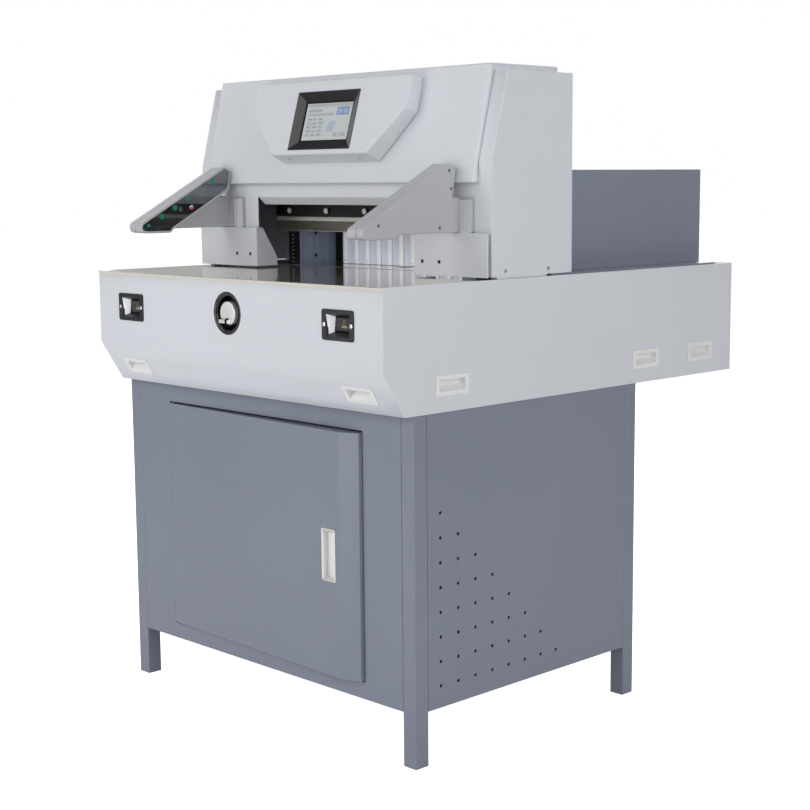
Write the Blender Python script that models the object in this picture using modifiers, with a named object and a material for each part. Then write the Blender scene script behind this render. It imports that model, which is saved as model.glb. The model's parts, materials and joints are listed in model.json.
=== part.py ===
"""Floor-standing electric paper cutter: slate cabinet on legs, pale steel body, tower with touch screen."""

import math

import bmesh
import bpy
from mathutils import Matrix, Vector

# Shared sizes, in metres. X runs to the right of someone facing the machine, Y to its back, Z up.
BODY_WIDTH = 0.896
BODY_DEPTH = 1.0786
BODY_HEIGHT = 0.2399
CABINET_HEIGHT = 0.6753
SHEET = 0.002
GAP = 0.0003
OVERRUN = 0.02
SHARP_ANGLE = math.radians(35)

HALF_WIDTH = BODY_WIDTH / 2
INNER_HALF = HALF_WIDTH - SHEET - GAP
BODY_FRONT = -BODY_DEPTH / 2
BODY_REAR = BODY_DEPTH / 2
TABLE_HEIGHT = CABINET_HEIGHT + BODY_HEIGHT

# Cabinet
CABINET_SETBACK = 0.0753
CABINET_DEPTH = 0.6591
LEG_WIDTH = 0.034
LEG_WALL = 0.002
PANEL_CLEARANCE = 0.107
PAN_DEPTH = 0.016

CABINET_FRONT = BODY_FRONT + CABINET_SETBACK
CABINET_REAR = CABINET_FRONT + CABINET_DEPTH
CABINET_TOP = CABINET_HEIGHT - GAP
PANEL_HALF = HALF_WIDTH - LEG_WIDTH - GAP

# Vent holes in the cabinet's sides, a stepped triangle
VENT_COLUMNS = 8
VENT_PITCH = 0.048
VENT_RADIUS = 0.0035
VENT_SIDES = 8
VENT_FROM_FRONT = 0.0683
VENT_FROM_BOTTOM = 0.043

# Louvre slots in the cabinet's back and the body's back
LOUVRE_ROWS = 5
LOUVRE_PITCH = 0.016
LOUVRE_LENGTH = 0.110
LOUVRE_HEIGHT = 0.005
LOUVRE_SPREAD = 0.240
LOUVRE_DROP = 0.1353
REAR_LOUVRE_RISE = 0.0647

# Cabinet door, a pan whose front leans out to a fold, with a band bent back beside it
DOOR_WIDTH = 0.608
DOOR_BOTTOM = 0.143
DOOR_TOP_MARGIN = 0.0448
DOOR_SHIFT = 0.0025
DOOR_EDGE_PROUD = 0.003
DOOR_FOLD_PROUD = 0.0235
DOOR_BAND = 0.0395
DOOR_BAND_PROUD = 0.008
DOOR_INSET = 0.0155
DOOR_HINGE_SEAM = 0.0037
DOOR_TOP_SEAM = 0.004
DOOR_LATCH_SEAM = 0.002
PIN_RADIUS = 0.002
PIN_FROM_EDGE = 0.0053
PIN_BEHIND_FRONT = 0.0035
PIN_REACH = 0.0075
PIN_ROOT = 0.006
PIN_SIDES = 12

DOOR_LEFT = DOOR_SHIFT - DOOR_WIDTH / 2
DOOR_RIGHT = DOOR_SHIFT + DOOR_WIDTH / 2
DOOR_TOP = CABINET_HEIGHT - DOOR_TOP_MARGIN
DOOR_HEIGHT = DOOR_TOP - DOOR_BOTTOM
DOOR_FOLD = DOOR_RIGHT - DOOR_BAND
PIN_X = DOOR_LEFT + PIN_FROM_EDGE
PIN_Y = CABINET_FRONT + PIN_BEHIND_FRONT
DOOR_LEAN = math.atan2(DOOR_FOLD_PROUD - DOOR_EDGE_PROUD, DOOR_FOLD - DOOR_LEFT)

# Door pull, a flush cup let into the leaning front
PULL_WIDTH = 0.0415
PULL_HEIGHT = 0.104
PULL_FROM_FOLD = 0.0135
PULL_RISE = 0.190
PULL_FLANGE = 0.0012
PULL_RIM = 0.004
PULL_DEPTH = 0.012
PULL_WALL = 0.0015

# Body
APRON_FOLD_RISE = 0.085
APRON_TUCK = 0.0535
APRON_FOOT = 0.012
BASE_THICKNESS = 0.006

APRON_FOLD_HEIGHT = CABINET_HEIGHT + APRON_FOLD_RISE

# Tables and cutting stick, whose line lies behind the tower's front
TABLE_THICKNESS = 0.008
TOWER_SETBACK = 0.287
CUT_LINE_SETBACK = 0.1213
STICK_WIDTH = 0.010
STICK_DROP = 0.001
SLOT_WIDTH = 0.030
SLOT_FRONT_MARGIN = 0.060
SLOT_REAR_MARGIN = 0.050

TOWER_FRONT = BODY_FRONT + TOWER_SETBACK
CUT_Y = TOWER_FRONT + CUT_LINE_SETBACK
STICK_FRONT = CUT_Y - STICK_WIDTH / 2
STICK_REAR = CUT_Y + STICK_WIDTH / 2
TABLE_UNDER = TABLE_HEIGHT - TABLE_THICKNESS
SLOT_FRONT = STICK_REAR + SLOT_FRONT_MARGIN
SLOT_REAR = BODY_REAR - SLOT_REAR_MARGIN

# Push modules for cutting, one for each hand
MODULE_INSET = 0.1195
MODULE_DROP = 0.0737
MODULE_WIDTH = 0.088
MODULE_HEIGHT = 0.058
MODULE_CORNER = 0.005
MODULE_FLANGE = 0.002
MODULE_CUP_WIDTH = 0.070
MODULE_CUP_HEIGHT = 0.048
MODULE_CUP_DEPTH = 0.030
RECESS_WIDTH = 0.064
RECESS_HEIGHT = 0.042
RECESS_DEPTH = 0.020
RECESS_BACK_WIDTH = 0.049
RECESS_BACK_HEIGHT = 0.028
RECESS_POCKET = 0.0065
BUTTON_WIDTH = 0.046
BUTTON_HEIGHT = 0.025
BUTTON_STEM_WIDTH = 0.020
BUTTON_STEM_HEIGHT = 0.012
BUTTON_STEM_REACH = 0.0095
BUTTON_CLEARANCE = 0.0006
BUTTON_BACK_CLEARANCE = 0.0045
BUTTON_CAP = 0.0042

MODULE_X = HALF_WIDTH - MODULE_INSET
MODULE_Z = TABLE_HEIGHT - MODULE_DROP

# Handwheel in its round well
WHEEL_DROP = 0.0694
WELL_RADIUS = 0.043
WELL_BORE_RADIUS = 0.036
WELL_FLANGE = 0.002
WELL_DEPTH = 0.040
WELL_WALL = 0.002
WELL_STEPS = 24
WELL_RIM_SHARES = ((0.06, 0.0), (0.28, 0.70), (0.60, 1.0), (0.92, 0.85), (1.0, 0.30))
WHEEL_RADIUS = 0.0235
WHEEL_THICKNESS = 0.010
WHEEL_RECESS = 0.002
WHEEL_EDGE = 0.0025
HUB_RADIUS = 0.011
HUB_LENGTH = 0.0238
CRANK_RADIUS = 0.0036
CRANK_LENGTH = 0.0325
CRANK_DROP = 0.0165
CRANK_PIVOT_X = 0.006
CRANK_CLEARANCE = 0.0004
CRANK_SINK = 0.0005
CRANK_PIN_RADIUS = 0.001
CRANK_PIN_REACH = 0.0018
CRANK_END_STEPS = 6

WHEEL_Z = TABLE_HEIGHT - WHEEL_DROP

# Grips, white cups let into the sheet
GRIP_WIDTH = 0.089
GRIP_HEIGHT = 0.039
GRIP_CORNER = 0.004
GRIP_PROUD = 0.0015
GRIP_CUP_WIDTH = 0.078
GRIP_CUP_HEIGHT = 0.030
GRIP_CUP_DEPTH = 0.016
GRIP_SCOOP_WIDTH = 0.068
GRIP_SCOOP_HEIGHT = 0.022
GRIP_SCOOP_DEPTH = 0.013
GRIP_SCOOP_SLOPE = 0.012
GRIP_SCOOP_FLARE = 0.001
SIDE_GRIP_RISE = 0.0502
SIDE_GRIP_FROM_FRONT = 0.1773
SIDE_GRIP_FROM_REAR = 0.1168
SIDE_GRIP_PITCH = 0.1945
FRONT_GRIP_INSET = 0.096
FRONT_GRIP_WIDTH = 0.085
FRONT_GRIP_DOWN = 0.058

SIDE_GRIP_Z = CABINET_HEIGHT + SIDE_GRIP_RISE
SIDE_GRIP_FRONT_Y = BODY_FRONT + SIDE_GRIP_FROM_FRONT
SIDE_GRIP_REAR_Y = BODY_REAR - SIDE_GRIP_FROM_REAR
SIDE_GRIP_MIDDLE_Y = SIDE_GRIP_REAR_Y - SIDE_GRIP_PITCH
FRONT_GRIP_X = HALF_WIDTH - FRONT_GRIP_INSET

# Tower
TOWER_DEPTH = 0.2343
TOWER_FOOT_GAP = 0.0043
TOWER_HEIGHT = 0.3948
TOWER_KINK_RISE = 0.2221
TOWER_SLOPE = 0.0437
MOUTH_WIDTH = 0.500
MOUTH_HEIGHT = 0.155
LIP_DEPTH = 0.0173
LIP_DROP = 0.0167
LIP_INSET = 0.0035
LIP_ROOT = 0.004

TOWER_REAR = TOWER_FRONT + TOWER_DEPTH
TOWER_FOOT = TABLE_HEIGHT + TOWER_FOOT_GAP
TOWER_KINK = TABLE_HEIGHT + TOWER_KINK_RISE
TOWER_TOP = TABLE_HEIGHT + TOWER_HEIGHT
MOUTH_TOP = TABLE_HEIGHT + MOUTH_HEIGHT
TOWER_TOP_FRONT = TOWER_FRONT + TOWER_SLOPE
MOUTH_HALF = MOUTH_WIDTH / 2

# Tower cover, a folded pan standing proud of the casing
COVER_INSET = 0.035
COVER_RISE = 0.014
COVER_LAP = 0.0388
COVER_TOP_PROUD = 0.0079
COVER_BOTTOM_PROUD = 0.0167
COVER_REAR_INSET = 0.002

COVER_HALF = HALF_WIDTH - COVER_INSET
COVER_TOP = TOWER_TOP + COVER_RISE
COVER_BOTTOM = TOWER_KINK - COVER_LAP
COVER_FRONT_TOP = TOWER_TOP_FRONT - COVER_TOP_PROUD
COVER_FRONT_BOTTOM = TOWER_FRONT - COVER_BOTTOM_PROUD
COVER_LEAN = math.atan2(COVER_FRONT_TOP - COVER_FRONT_BOTTOM, COVER_TOP - COVER_BOTTOM)

# Display pod on the cover
POD_WIDTH = 0.473
POD_NARROW_WIDTH = 0.292
POD_FROM_TOP = 0.020
POD_WAIST = 0.089
POD_BOTTOM = 0.180
POD_DEPTH_TOP = 0.033
POD_DEPTH_BOTTOM = 0.042
POD_FOOT_FLARE = 0.008
POD_WALL = 0.003
POD_LEAN = math.atan2(POD_DEPTH_BOTTOM - POD_DEPTH_TOP, POD_BOTTOM - POD_FROM_TOP)

# Touch screen
SCREEN_BEZEL_WIDTH = 0.192
SCREEN_BEZEL_HEIGHT = 0.1245
SCREEN_BEZEL_DEPTH = 0.010
SCREEN_BEZEL_LAND = 0.0025
SCREEN_BEZEL_PROUD = 0.0005
SCREEN_BEZEL_STEP = 0.002
SCREEN_FROM_POD_TOP = 0.025
SCREEN_VIEW_WIDTH = 0.147
SCREEN_VIEW_HEIGHT = 0.086
SCREEN_BODY_WIDTH = 0.172
SCREEN_BODY_HEIGHT = 0.104
SCREEN_BODY_DEPTH = 0.016

# Brackets at the foot of the tower
BRACKET_PROUD = 0.0095
BRACKET_THICKNESS = 0.003
BRACKET_INSET = 0.003
BRACKET_RISE = 0.088
BRACKET_FOOT_GAP = 0.0033
BRACKET_FLANGE_TOP = 0.0185
BRACKET_FLANGE_BOTTOM = 0.059
BRACKET_FLANGE_STEP = 0.020
BRACKET_SPACER_WIDTH = 0.070
BRACKET_SPACER_HEIGHT = 0.024
BRACKET_CORNER = 0.004
BRACKET_HOLE_RADIUS = 0.004
BRACKET_HOLE_RISE = 0.0272
BRACKET_HOLE_INNER = 0.0195
BRACKET_HOLE_PITCH = 0.0465
BRACKET_HOLE_SIDES = 12

BRACKET_OUTER = HALF_WIDTH - BRACKET_INSET
BRACKET_TOP = TABLE_HEIGHT + BRACKET_RISE

# Sensor arms either side of the mouth, ahead of the tower and above the table
ARM_INSET = 0.080
ARM_COVER_WIDTH = 0.020
ARM_HOUSING_WIDTH = 0.0237
ARM_BACK_AHEAD = 0.0139
ARM_PEAK_AHEAD = 0.0324
ARM_PEAK_RISE = 0.2219
ARM_SHOULDER_RISE = 0.2128
ARM_WAIST_AHEAD = 0.0182
ARM_WAIST_RISE = 0.1823
ARM_NOTCH_AHEAD = 0.0240
ARM_NOTCH_RISE = 0.1575
ARM_WEB_TOP_RISE = 0.1542
ARM_WEB_RISE = 0.0886
ARM_STEP_AHEAD = 0.1620
ARM_BELLY_AHEAD = 0.1809
ARM_BELLY_RISE = 0.0805
ARM_TOE_AHEAD = 0.2415
ARM_NOSE_AHEAD = 0.2601
ARM_NOSE_RISE = 0.0908
ARM_NOSE_LOW_AHEAD = 0.2552
ARM_NOSE_LOW_RISE = 0.0833
ARM_BROW_AHEAD = 0.2574
ARM_BROW_RISE = 0.1023
ARM_BAND_AHEAD = 0.0217
ARM_BAND_RISE = 0.1708
ARM_BAND_END_AHEAD = 0.1742
ARM_BAND_END_RISE = 0.0879
ARM_FOOT_WIDTH = 0.106
ARM_FOOT_SHIFT = 0.010
ARM_FOOT_FRONT = 0.0064
WINDOW_INSET = 0.0045
WINDOW_DEPTH = 0.002

ARM_OUTER = HALF_WIDTH - ARM_INSET
ARM_WEB_TOP = TABLE_HEIGHT + ARM_WEB_TOP_RISE
ARM_WEB_BOTTOM = TABLE_HEIGHT + ARM_WEB_RISE

# Machine frame inside
FRAME_MARGIN = 0.0025
FRAME_WIDTH = 0.040
FRAME_BEHIND_CUT = 0.0004
FRAME_REAR_MARGIN = 0.0025
FRAME_DROP = 0.110
BEAM_HEIGHT = 0.085
BEAM_FRONT_MARGIN = 0.004
BEAM_REAR_MARGIN = 0.010

FRAME_INNER = MOUTH_HALF + FRAME_MARGIN
FRAME_TOP = TOWER_TOP - FRAME_DROP
FRAME_FRONT = CUT_Y + FRAME_BEHIND_CUT
FRAME_REAR = TOWER_REAR - SHEET - FRAME_REAR_MARGIN
BASE_TOP = CABINET_HEIGHT + BASE_THICKNESS

# Knife, its carrier and the clamp
KNIFE_EDGE_RISE = 0.0775
KNIFE_THICKNESS = 0.0115
KNIFE_BEVEL = 0.0233
KNIFE_HEIGHT = 0.107
KNIFE_END = 0.0275
KNIFE_SHIFT = 0.015
KNIFE_TAIL = 0.0575
CARRIER_THICKNESS = 0.0172
CARRIER_HEIGHT = 0.125
CARRIER_END = 0.0095
CARRIER_ABOVE_EDGE = 0.0328
BOLT_END = 0.041
BOLT_COUNT = 5
BOLT_RADIUS = 0.0065
BOLT_HEAD = 0.005
BOLT_RISE = 0.0135
BOLT_SIDES = 12
CLAMP_BEHIND_CUT = 0.0025
CLAMP_DEPTH = 0.0435
CLAMP_RISE = 0.0803
CLAMP_HEIGHT = 0.125
CLAMP_SOLE = 0.016
CLAMP_WEB = 0.020
CLAMP_ROOT = 0.010
SPINDLE_RADIUS = 0.012
SPINDLE_DROP = 0.014
SPINDLE_SIDES = 16

KNIFE_EDGE_Z = TABLE_HEIGHT + KNIFE_EDGE_RISE
KNIFE_LENGTH = MOUTH_WIDTH + 2 * KNIFE_END
CARRIER_LENGTH = KNIFE_LENGTH + 2 * CARRIER_END
BOLT_PITCH = (CARRIER_LENGTH - 2 * BOLT_END) / (BOLT_COUNT - 1)
CLAMP_BOTTOM = TABLE_HEIGHT + CLAMP_RISE
SPINDLE_TOP = TOWER_TOP - SPINDLE_DROP
CLAMP_MIDDLE = CUT_Y + CLAMP_BEHIND_CUT + CLAMP_DEPTH / 2

# Back gauge and its screw
GAUGE_FACE_SETBACK = 0.109
GAUGE_INSET = 0.0155
GAUGE_PLATE = 0.012
GAUGE_RISE = 0.0948
GAUGE_FLOOR_GAP = 0.0008
RIB_COUNT = 13
RIB_END = 0.0155
RIB_WIDTH = 0.011
RIB_PROUD = 0.005
CARRIAGE_DEPTH = 0.045
CARRIAGE_HALF = 0.060
CARRIAGE_HEIGHT = 0.022
NECK_HALF = 0.0135
NECK_SETBACK = 0.004
NUT_HALF = 0.024
NUT_DEPTH = 0.040
SCREW_RADIUS = 0.009
SCREW_CLEARANCE = 0.0004
SCREW_SIDES = 16
SCREW_REAR_MARGIN = 0.016
PILLOW_HALF = 0.026
PILLOW_DEPTH = 0.020
PILLOW_REAR_MARGIN = 0.020
PILLOW_FRONT_SETBACK = 0.330
PILLOW_HEAD = 0.026

GAUGE_HALF = MOUTH_HALF - GAUGE_INSET
GAUGE_TOP = TABLE_HEIGHT + GAUGE_RISE
RIB_PITCH = 2 * (GAUGE_HALF - RIB_END) / (RIB_COUNT - 1)

# Rear guard over the rear table
GUARD_INSET = 0.063
GUARD_RISE = 0.2073
GUARD_REAR_MARGIN = 0.0363
GUARD_FOOT_INSET = 0.0037
GUARD_FOOT_THICKNESS = 0.0032
GUARD_FOOT_LAP = 0.0567
GUARD_FOOT_MARGIN = 0.0593
GUARD_TOWER_GAP = 0.002

GUARD_HALF = HALF_WIDTH - GUARD_INSET
GUARD_TOP = TABLE_HEIGHT + GUARD_RISE
GUARD_REAR = BODY_REAR - GUARD_REAR_MARGIN
GUARD_FOOT_OUTER = HALF_WIDTH - GUARD_FOOT_INSET
GUARD_FOOT_FRONT = TOWER_REAR - GUARD_FOOT_LAP
GUARD_FOOT_REAR = BODY_REAR - GUARD_FOOT_MARGIN

# Drive motor, mains inlet and switch
MOTOR_X = 0.150
MOTOR_FROM_REAR = 0.3393
MOTOR_RADIUS = 0.055
MOTOR_LENGTH = 0.180
MOTOR_STEPS = 20
GEARBOX_WIDTH = 0.120
GEARBOX_DEPTH = 0.110
GEARBOX_HEIGHT = 0.130
INLET_INSET = 0.118
INLET_RISE = 0.0697
INLET_WIDTH = 0.050
INLET_HEIGHT = 0.062
INLET_FLANGE = 0.002
INLET_CUP_WIDTH = 0.032
INLET_CUP_HEIGHT = 0.052
INLET_CUP_DEPTH = 0.030
SOCKET_WIDTH = 0.024
SOCKET_HEIGHT = 0.0165
SOCKET_DROP = 0.013
SOCKET_DEPTH = 0.018
ROCKER_WIDTH = 0.020
ROCKER_HEIGHT = 0.0125
ROCKER_RISE = 0.013
ROCKER_DEPTH = 0.010
ROCKER_SINK = 0.001
ROCKER_PIVOT_DEPTH = 0.006
ROCKER_TILT_DEGREES = 6
ROCKER_ROOM = 0.0012
ROCKER_POCKET_DEPTH = 0.016
ROCKER_DISH = 0.0014

MOTOR_Y = BODY_REAR - MOTOR_FROM_REAR
INLET_X = INLET_INSET - HALF_WIDTH
INLET_Z = CABINET_HEIGHT + INLET_RISE


def new_collection(name):
    collection = bpy.data.collections.new(name)
    bpy.context.scene.collection.children.link(collection)
    return collection


def clear_scene():
    for old in list(bpy.data.objects):
        bpy.data.objects.remove(old, do_unlink=True)


clear_scene()
PARTS = new_collection("electric_paper_cutter")
CUTTERS = new_collection("cutters")


def material(name, colour, roughness, metallic=0.0):
    made = bpy.data.materials.new(name)
    made.use_nodes = True
    shader = made.node_tree.nodes["Principled BSDF"]
    shader.inputs["Base Color"].default_value = (*colour, 1.0)
    shader.inputs["Roughness"].default_value = roughness
    shader.inputs["Metallic"].default_value = metallic
    return made


PALE_PAINT = material("pale_grey_paint", (0.60, 0.62, 0.65), 0.45)
SLATE_PAINT = material("slate_paint", (0.21, 0.24, 0.30), 0.50)
ARM_PAINT = material("arm_grey_paint", (0.44, 0.45, 0.48), 0.45)
POLISHED_STEEL = material("polished_steel", (0.62, 0.61, 0.58), 0.12, 1.0)
BRUSHED_STEEL = material("brushed_steel", (0.55, 0.55, 0.54), 0.30, 1.0)
BLACK_CASTING = material("black_casting", (0.03, 0.03, 0.035), 0.40)
BLUED_STEEL = material("blued_steel", (0.09, 0.11, 0.17), 0.30, 0.6)
WHITE_PLASTIC = material("white_plastic", (0.82, 0.82, 0.82), 0.40)
BLACK_PLASTIC = material("black_plastic", (0.05, 0.05, 0.06), 0.35)
CHARCOAL_PLASTIC = material("charcoal_plastic", (0.08, 0.08, 0.085), 0.40)
SCREEN_GLASS = material("screen_glass", (0.70, 0.73, 0.72), 0.10)
RED_PLASTIC = material("red_plastic", (0.65, 0.05, 0.06), 0.45)
ALUMINIUM = material("satin_aluminium", (0.78, 0.78, 0.77), 0.35, 1.0)

# Axes of a flat outline's two directions, and of its thickness
PLANES = {
    "XY": Matrix(((1, 0, 0), (0, 1, 0), (0, 0, 1))),
    "XZ": Matrix(((1, 0, 0), (0, 0, -1), (0, 1, 0))),
    "YZ": Matrix(((0, 0, 1), (1, 0, 0), (0, 1, 0))),
    "REAR": Matrix(((-1, 0, 0), (0, 0, 1), (0, 1, 0))),
}


def place(name, mesh, finish, where=None, collection=PARTS):
    made = bpy.data.objects.new(name, mesh)
    collection.objects.link(made)
    if finish:
        mesh.materials.append(finish)
    if where:
        made.matrix_world = where
    if collection is CUTTERS:
        made.hide_render = True
        made.display_type = "WIRE"
    return made


def box(name, low, high, finish=None, collection=PARTS, where=None):
    """A box between two opposite corners."""
    mesh = bpy.data.meshes.new(name)
    bm = bmesh.new()
    bmesh.ops.create_cube(bm, size=1.0)
    size = Vector(high) - Vector(low)
    bmesh.ops.scale(bm, vec=size, verts=bm.verts)
    bm.to_mesh(mesh)
    bm.free()
    centre = Matrix.Translation((Vector(low) + Vector(high)) / 2)
    return place(name, mesh, finish, where @ centre if where else centre, collection)


def cylinder(name, radius, length, where, sides, finish=None, collection=PARTS):
    """A cylinder centred on where's origin, along its Z axis."""
    mesh = bpy.data.meshes.new(name)
    bm = bmesh.new()
    bmesh.ops.create_cone(
        bm, cap_ends=True, segments=sides, radius1=radius, radius2=radius, depth=length
    )
    bm.to_mesh(mesh)
    bm.free()
    mesh.shade_smooth()
    mesh.set_sharp_from_angle(angle=SHARP_ANGLE)
    return place(name, mesh, finish, where, collection)


def plate(name, outlines, thickness, where, finish=None, collection=PARTS):
    """Closed outlines, the later ones being holes, made as thick as asked along where's +Z axis."""
    curve = bpy.data.curves.new(name, "CURVE")
    curve.dimensions = "2D"
    curve.fill_mode = "BOTH"
    curve.extrude = thickness / 2
    for outline in outlines:
        spline = curve.splines.new("POLY")
        spline.points.add(len(outline) - 1)
        for point, (u, v) in zip(spline.points, outline):
            point.co = (u, v, 0, 1)
        spline.use_cyclic_u = True
    guide = bpy.data.objects.new(name, curve)
    PARTS.objects.link(guide)
    graph = bpy.context.evaluated_depsgraph_get()
    mesh = bpy.data.meshes.new_from_object(guide.evaluated_get(graph))
    bpy.data.objects.remove(guide)
    bm = bmesh.new()
    bm.from_mesh(mesh)
    bmesh.ops.remove_doubles(bm, verts=bm.verts, dist=GAP / 10)
    bmesh.ops.recalc_face_normals(bm, faces=bm.faces)
    bm.to_mesh(mesh)
    bm.free()
    mesh.materials.clear()
    mesh.name = name
    return place(name, mesh, finish, where @ Matrix.Translation((0, 0, thickness / 2)), collection)


def loft(name, back, front, depth_back, depth_front, where, finish=None, collection=PARTS):
    """A solid between two outlines of as many points, each point of the front at its own depth."""
    mesh = bpy.data.meshes.new(name)
    bm = bmesh.new()
    rings = []
    for outline, depths in ((back, depth_back), (front, depth_front)):
        rings.append([bm.verts.new((u, v, w)) for (u, v), w in zip(outline, depths)])
    low, high = rings
    bm.faces.new(list(reversed(low)))
    bm.faces.new(high)
    count = len(low)
    for i in range(count):
        after = (i + 1) % count
        bm.faces.new((low[i], low[after], high[after], high[i]))
    bmesh.ops.recalc_face_normals(bm, faces=bm.faces)
    bm.to_mesh(mesh)
    bm.free()
    return place(name, mesh, finish, where, collection)


def turned(name, profile, where, steps, finish, ring=False):
    """A profile of (radius, height) points, outer side running down, turned about where's Z axis."""
    mesh = bpy.data.meshes.new(name)
    points = [(radius, 0, height) for radius, height in profile]
    edges = [(i, i + 1) for i in range(len(points) - 1)]
    if ring:
        edges.append((len(points) - 1, 0))
    mesh.from_pydata(points, edges, [])
    made = place(name, mesh, finish, where)
    turn = made.modifiers.new("turn", "SCREW")
    turn.steps = turn.render_steps = steps
    turn.use_merge_vertices = True
    turn.merge_threshold = GAP / 10
    return made


def turn_about(obj, point):
    """Puts an object's origin at a point on its joint's axis, leaving its shape where it is."""
    where = Matrix.Translation(point)
    obj.data.transform(where.inverted() @ obj.matrix_world)
    obj.matrix_world = where
    return obj


def combine(target, tool, operation):
    """Cuts the tool away from the target, or joins it on, and keeps the tool among the cutters."""
    for collection in list(tool.users_collection):
        collection.objects.unlink(tool)
    CUTTERS.objects.link(tool)
    tool.hide_render = True
    tool.display_type = "WIRE"
    step = target.modifiers.new(tool.name, "BOOLEAN")
    step.operation = operation
    step.object = tool
    step.use_self = True
    return target


def cut(target, *tools):
    for tool in tools:
        combine(target, tool, "DIFFERENCE")
    return target


def join(target, *tools):
    for tool in tools:
        combine(target, tool, "UNION")
    return target


def rectangle(u0, v0, u1, v1):
    return [(u0, v0), (u1, v0), (u1, v1), (u0, v1)]


def centred(width, height, u=0.0, v=0.0):
    return rectangle(u - width / 2, v - height / 2, u + width / 2, v + height / 2)


def rounded(width, height, radius, u=0.0, v=0.0, steps=3):
    """A rectangle about (u, v) with round corners."""
    points = []
    corners = ((1, -1, -90), (1, 1, 0), (-1, 1, 90), (-1, -1, 180))
    for side_u, side_v, start in corners:
        centre_u = u + side_u * (width / 2 - radius)
        centre_v = v + side_v * (height / 2 - radius)
        for step in range(steps + 1):
            angle = math.radians(start + 90 * step / steps)
            points.append((centre_u + radius * math.cos(angle), centre_v + radius * math.sin(angle)))
    return points


def circle(u, v, radius, sides):
    turns = [2 * math.pi * (i + 0.5) / sides for i in range(sides)]
    return [(u + radius * math.cos(turn), v + radius * math.sin(turn)) for turn in turns]


def offset(path, distance):
    """An open path moved to its left by a distance, with mitred corners."""
    normals = []
    for (u0, v0), (u1, v1) in zip(path, path[1:]):
        run = math.hypot(u1 - u0, v1 - v0)
        normals.append(((v0 - v1) / run, (u1 - u0) / run))
    moved = []
    for i, (u, v) in enumerate(path):
        before = normals[max(i - 1, 0)]
        after = normals[min(i, len(normals) - 1)]
        total_u = before[0] + after[0]
        total_v = before[1] + after[1]
        reach = 2 * distance / (total_u * total_u + total_v * total_v)
        moved.append((u + total_u * reach, v + total_v * reach))
    return moved


def sheet_outline(path, thickness):
    """The outline of a folded sheet whose outer side follows the path and whose metal lies to its left."""
    return path + list(reversed(offset(path, thickness)))


def facing_front(y):
    """Outlines in X and Z on the plane at y, thickness growing towards the front."""
    return Matrix.Translation((0, y, 0)) @ PLANES["XZ"].to_4x4()


def facing_side(x, side):
    """Outlines in Y and Z on the plane at x, thickness growing outwards on the right (1) or left (-1)."""
    if side > 0:
        return Matrix.Translation((x, 0, 0)) @ PLANES["YZ"].to_4x4()
    mirrored = Matrix(((0, 0, -1), (-1, 0, 0), (0, 1, 0))).to_4x4()
    return Matrix.Translation((-x, 0, 0)) @ mirrored


def facing_rear(x, y, z):
    """A frame on a panel at the back whose Z axis runs to the back."""
    return Matrix.Translation((x, y, z)) @ PLANES["REAR"].to_4x4()


def lying(z):
    return Matrix.Translation((0, 0, z))


def along_y(x, y, z):
    """A frame at a point whose Z axis runs to the front."""
    return Matrix.Translation((x, y, z)) @ PLANES["XZ"].to_4x4()


def side_name(side):
    return "right" if side > 0 else "left"


def span(side, inner, outer):
    """The low and high X of a piece between two distances from the middle, on either side."""
    return (inner, outer) if side > 0 else (-outer, -inner)


def side_plate(name, outlines, side, inner, outer, finish=None, collection=PARTS):
    """Outlines in Y and Z that fill the space between two distances from the middle, on one side."""
    low, high = span(side, inner, outer)
    where = Matrix.Translation((low, 0, 0)) @ PLANES["YZ"].to_4x4()
    return plate(name, outlines, high - low, where, finish, collection)


def side_box(name, side, inner, outer, low, high, finish=None, collection=PARTS):
    """A box between two distances from the middle, and from (y, z) low to (y, z) high."""
    left, right = span(side, inner, outer)
    return box(name, (left, *low), (right, *high), finish, collection)


def across(name, outlines, half, finish=None, collection=PARTS):
    """Outlines in Y and Z drawn out across the middle, to a half width."""
    where = Matrix.Translation((-half, 0, 0)) @ PLANES["YZ"].to_4x4()
    return plate(name, outlines, 2 * half, where, finish, collection)


def inset(outline, distance):
    """A closed outline that runs anticlockwise, moved inwards."""
    return offset([outline[-1]] + outline + [outline[0]], distance)[1:-1]


def flanged_block(name, where, flange, corner, proud, block, depth, finish):
    """A block let into a panel with a thin flange before it. where lies on the panel, Z outwards."""
    lifted = where @ Matrix.Translation((0, 0, GAP))
    made = plate(name, [rounded(*flange, corner)], proud - GAP, lifted, finish)
    half_width = block[0] / 2
    half_height = block[1] / 2
    low = (-half_width, -half_height, -depth)
    high = (half_width, half_height, (GAP + proud) / 2)
    return join(made, box(f"{name}_block", low, high, collection=CUTTERS, where=where))


def opening_for(name, where, block):
    """The cutter for the hole in a panel that such a block goes through."""
    half_width = block[0] / 2 + GAP
    half_height = block[1] / 2 + GAP
    low = (-half_width, -half_height, -OVERRUN)
    return box(f"{name}_opening", low, (half_width, half_height, OVERRUN), collection=CUTTERS, where=where)


def funnel(name, where, bottom, bottom_height, top, top_height):
    """A cutter whose section runs from one centred rectangle to a wider one, and on past it."""
    share = (top_height + OVERRUN - bottom_height) / (top_height - bottom_height)
    far = [low + (high - low) * share for low, high in zip(bottom, top)]
    depths = ([bottom_height] * 4, [top_height + OVERRUN] * 4)
    return loft(name, centred(*bottom), centred(*far), *depths, where, collection=CUTTERS)


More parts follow.
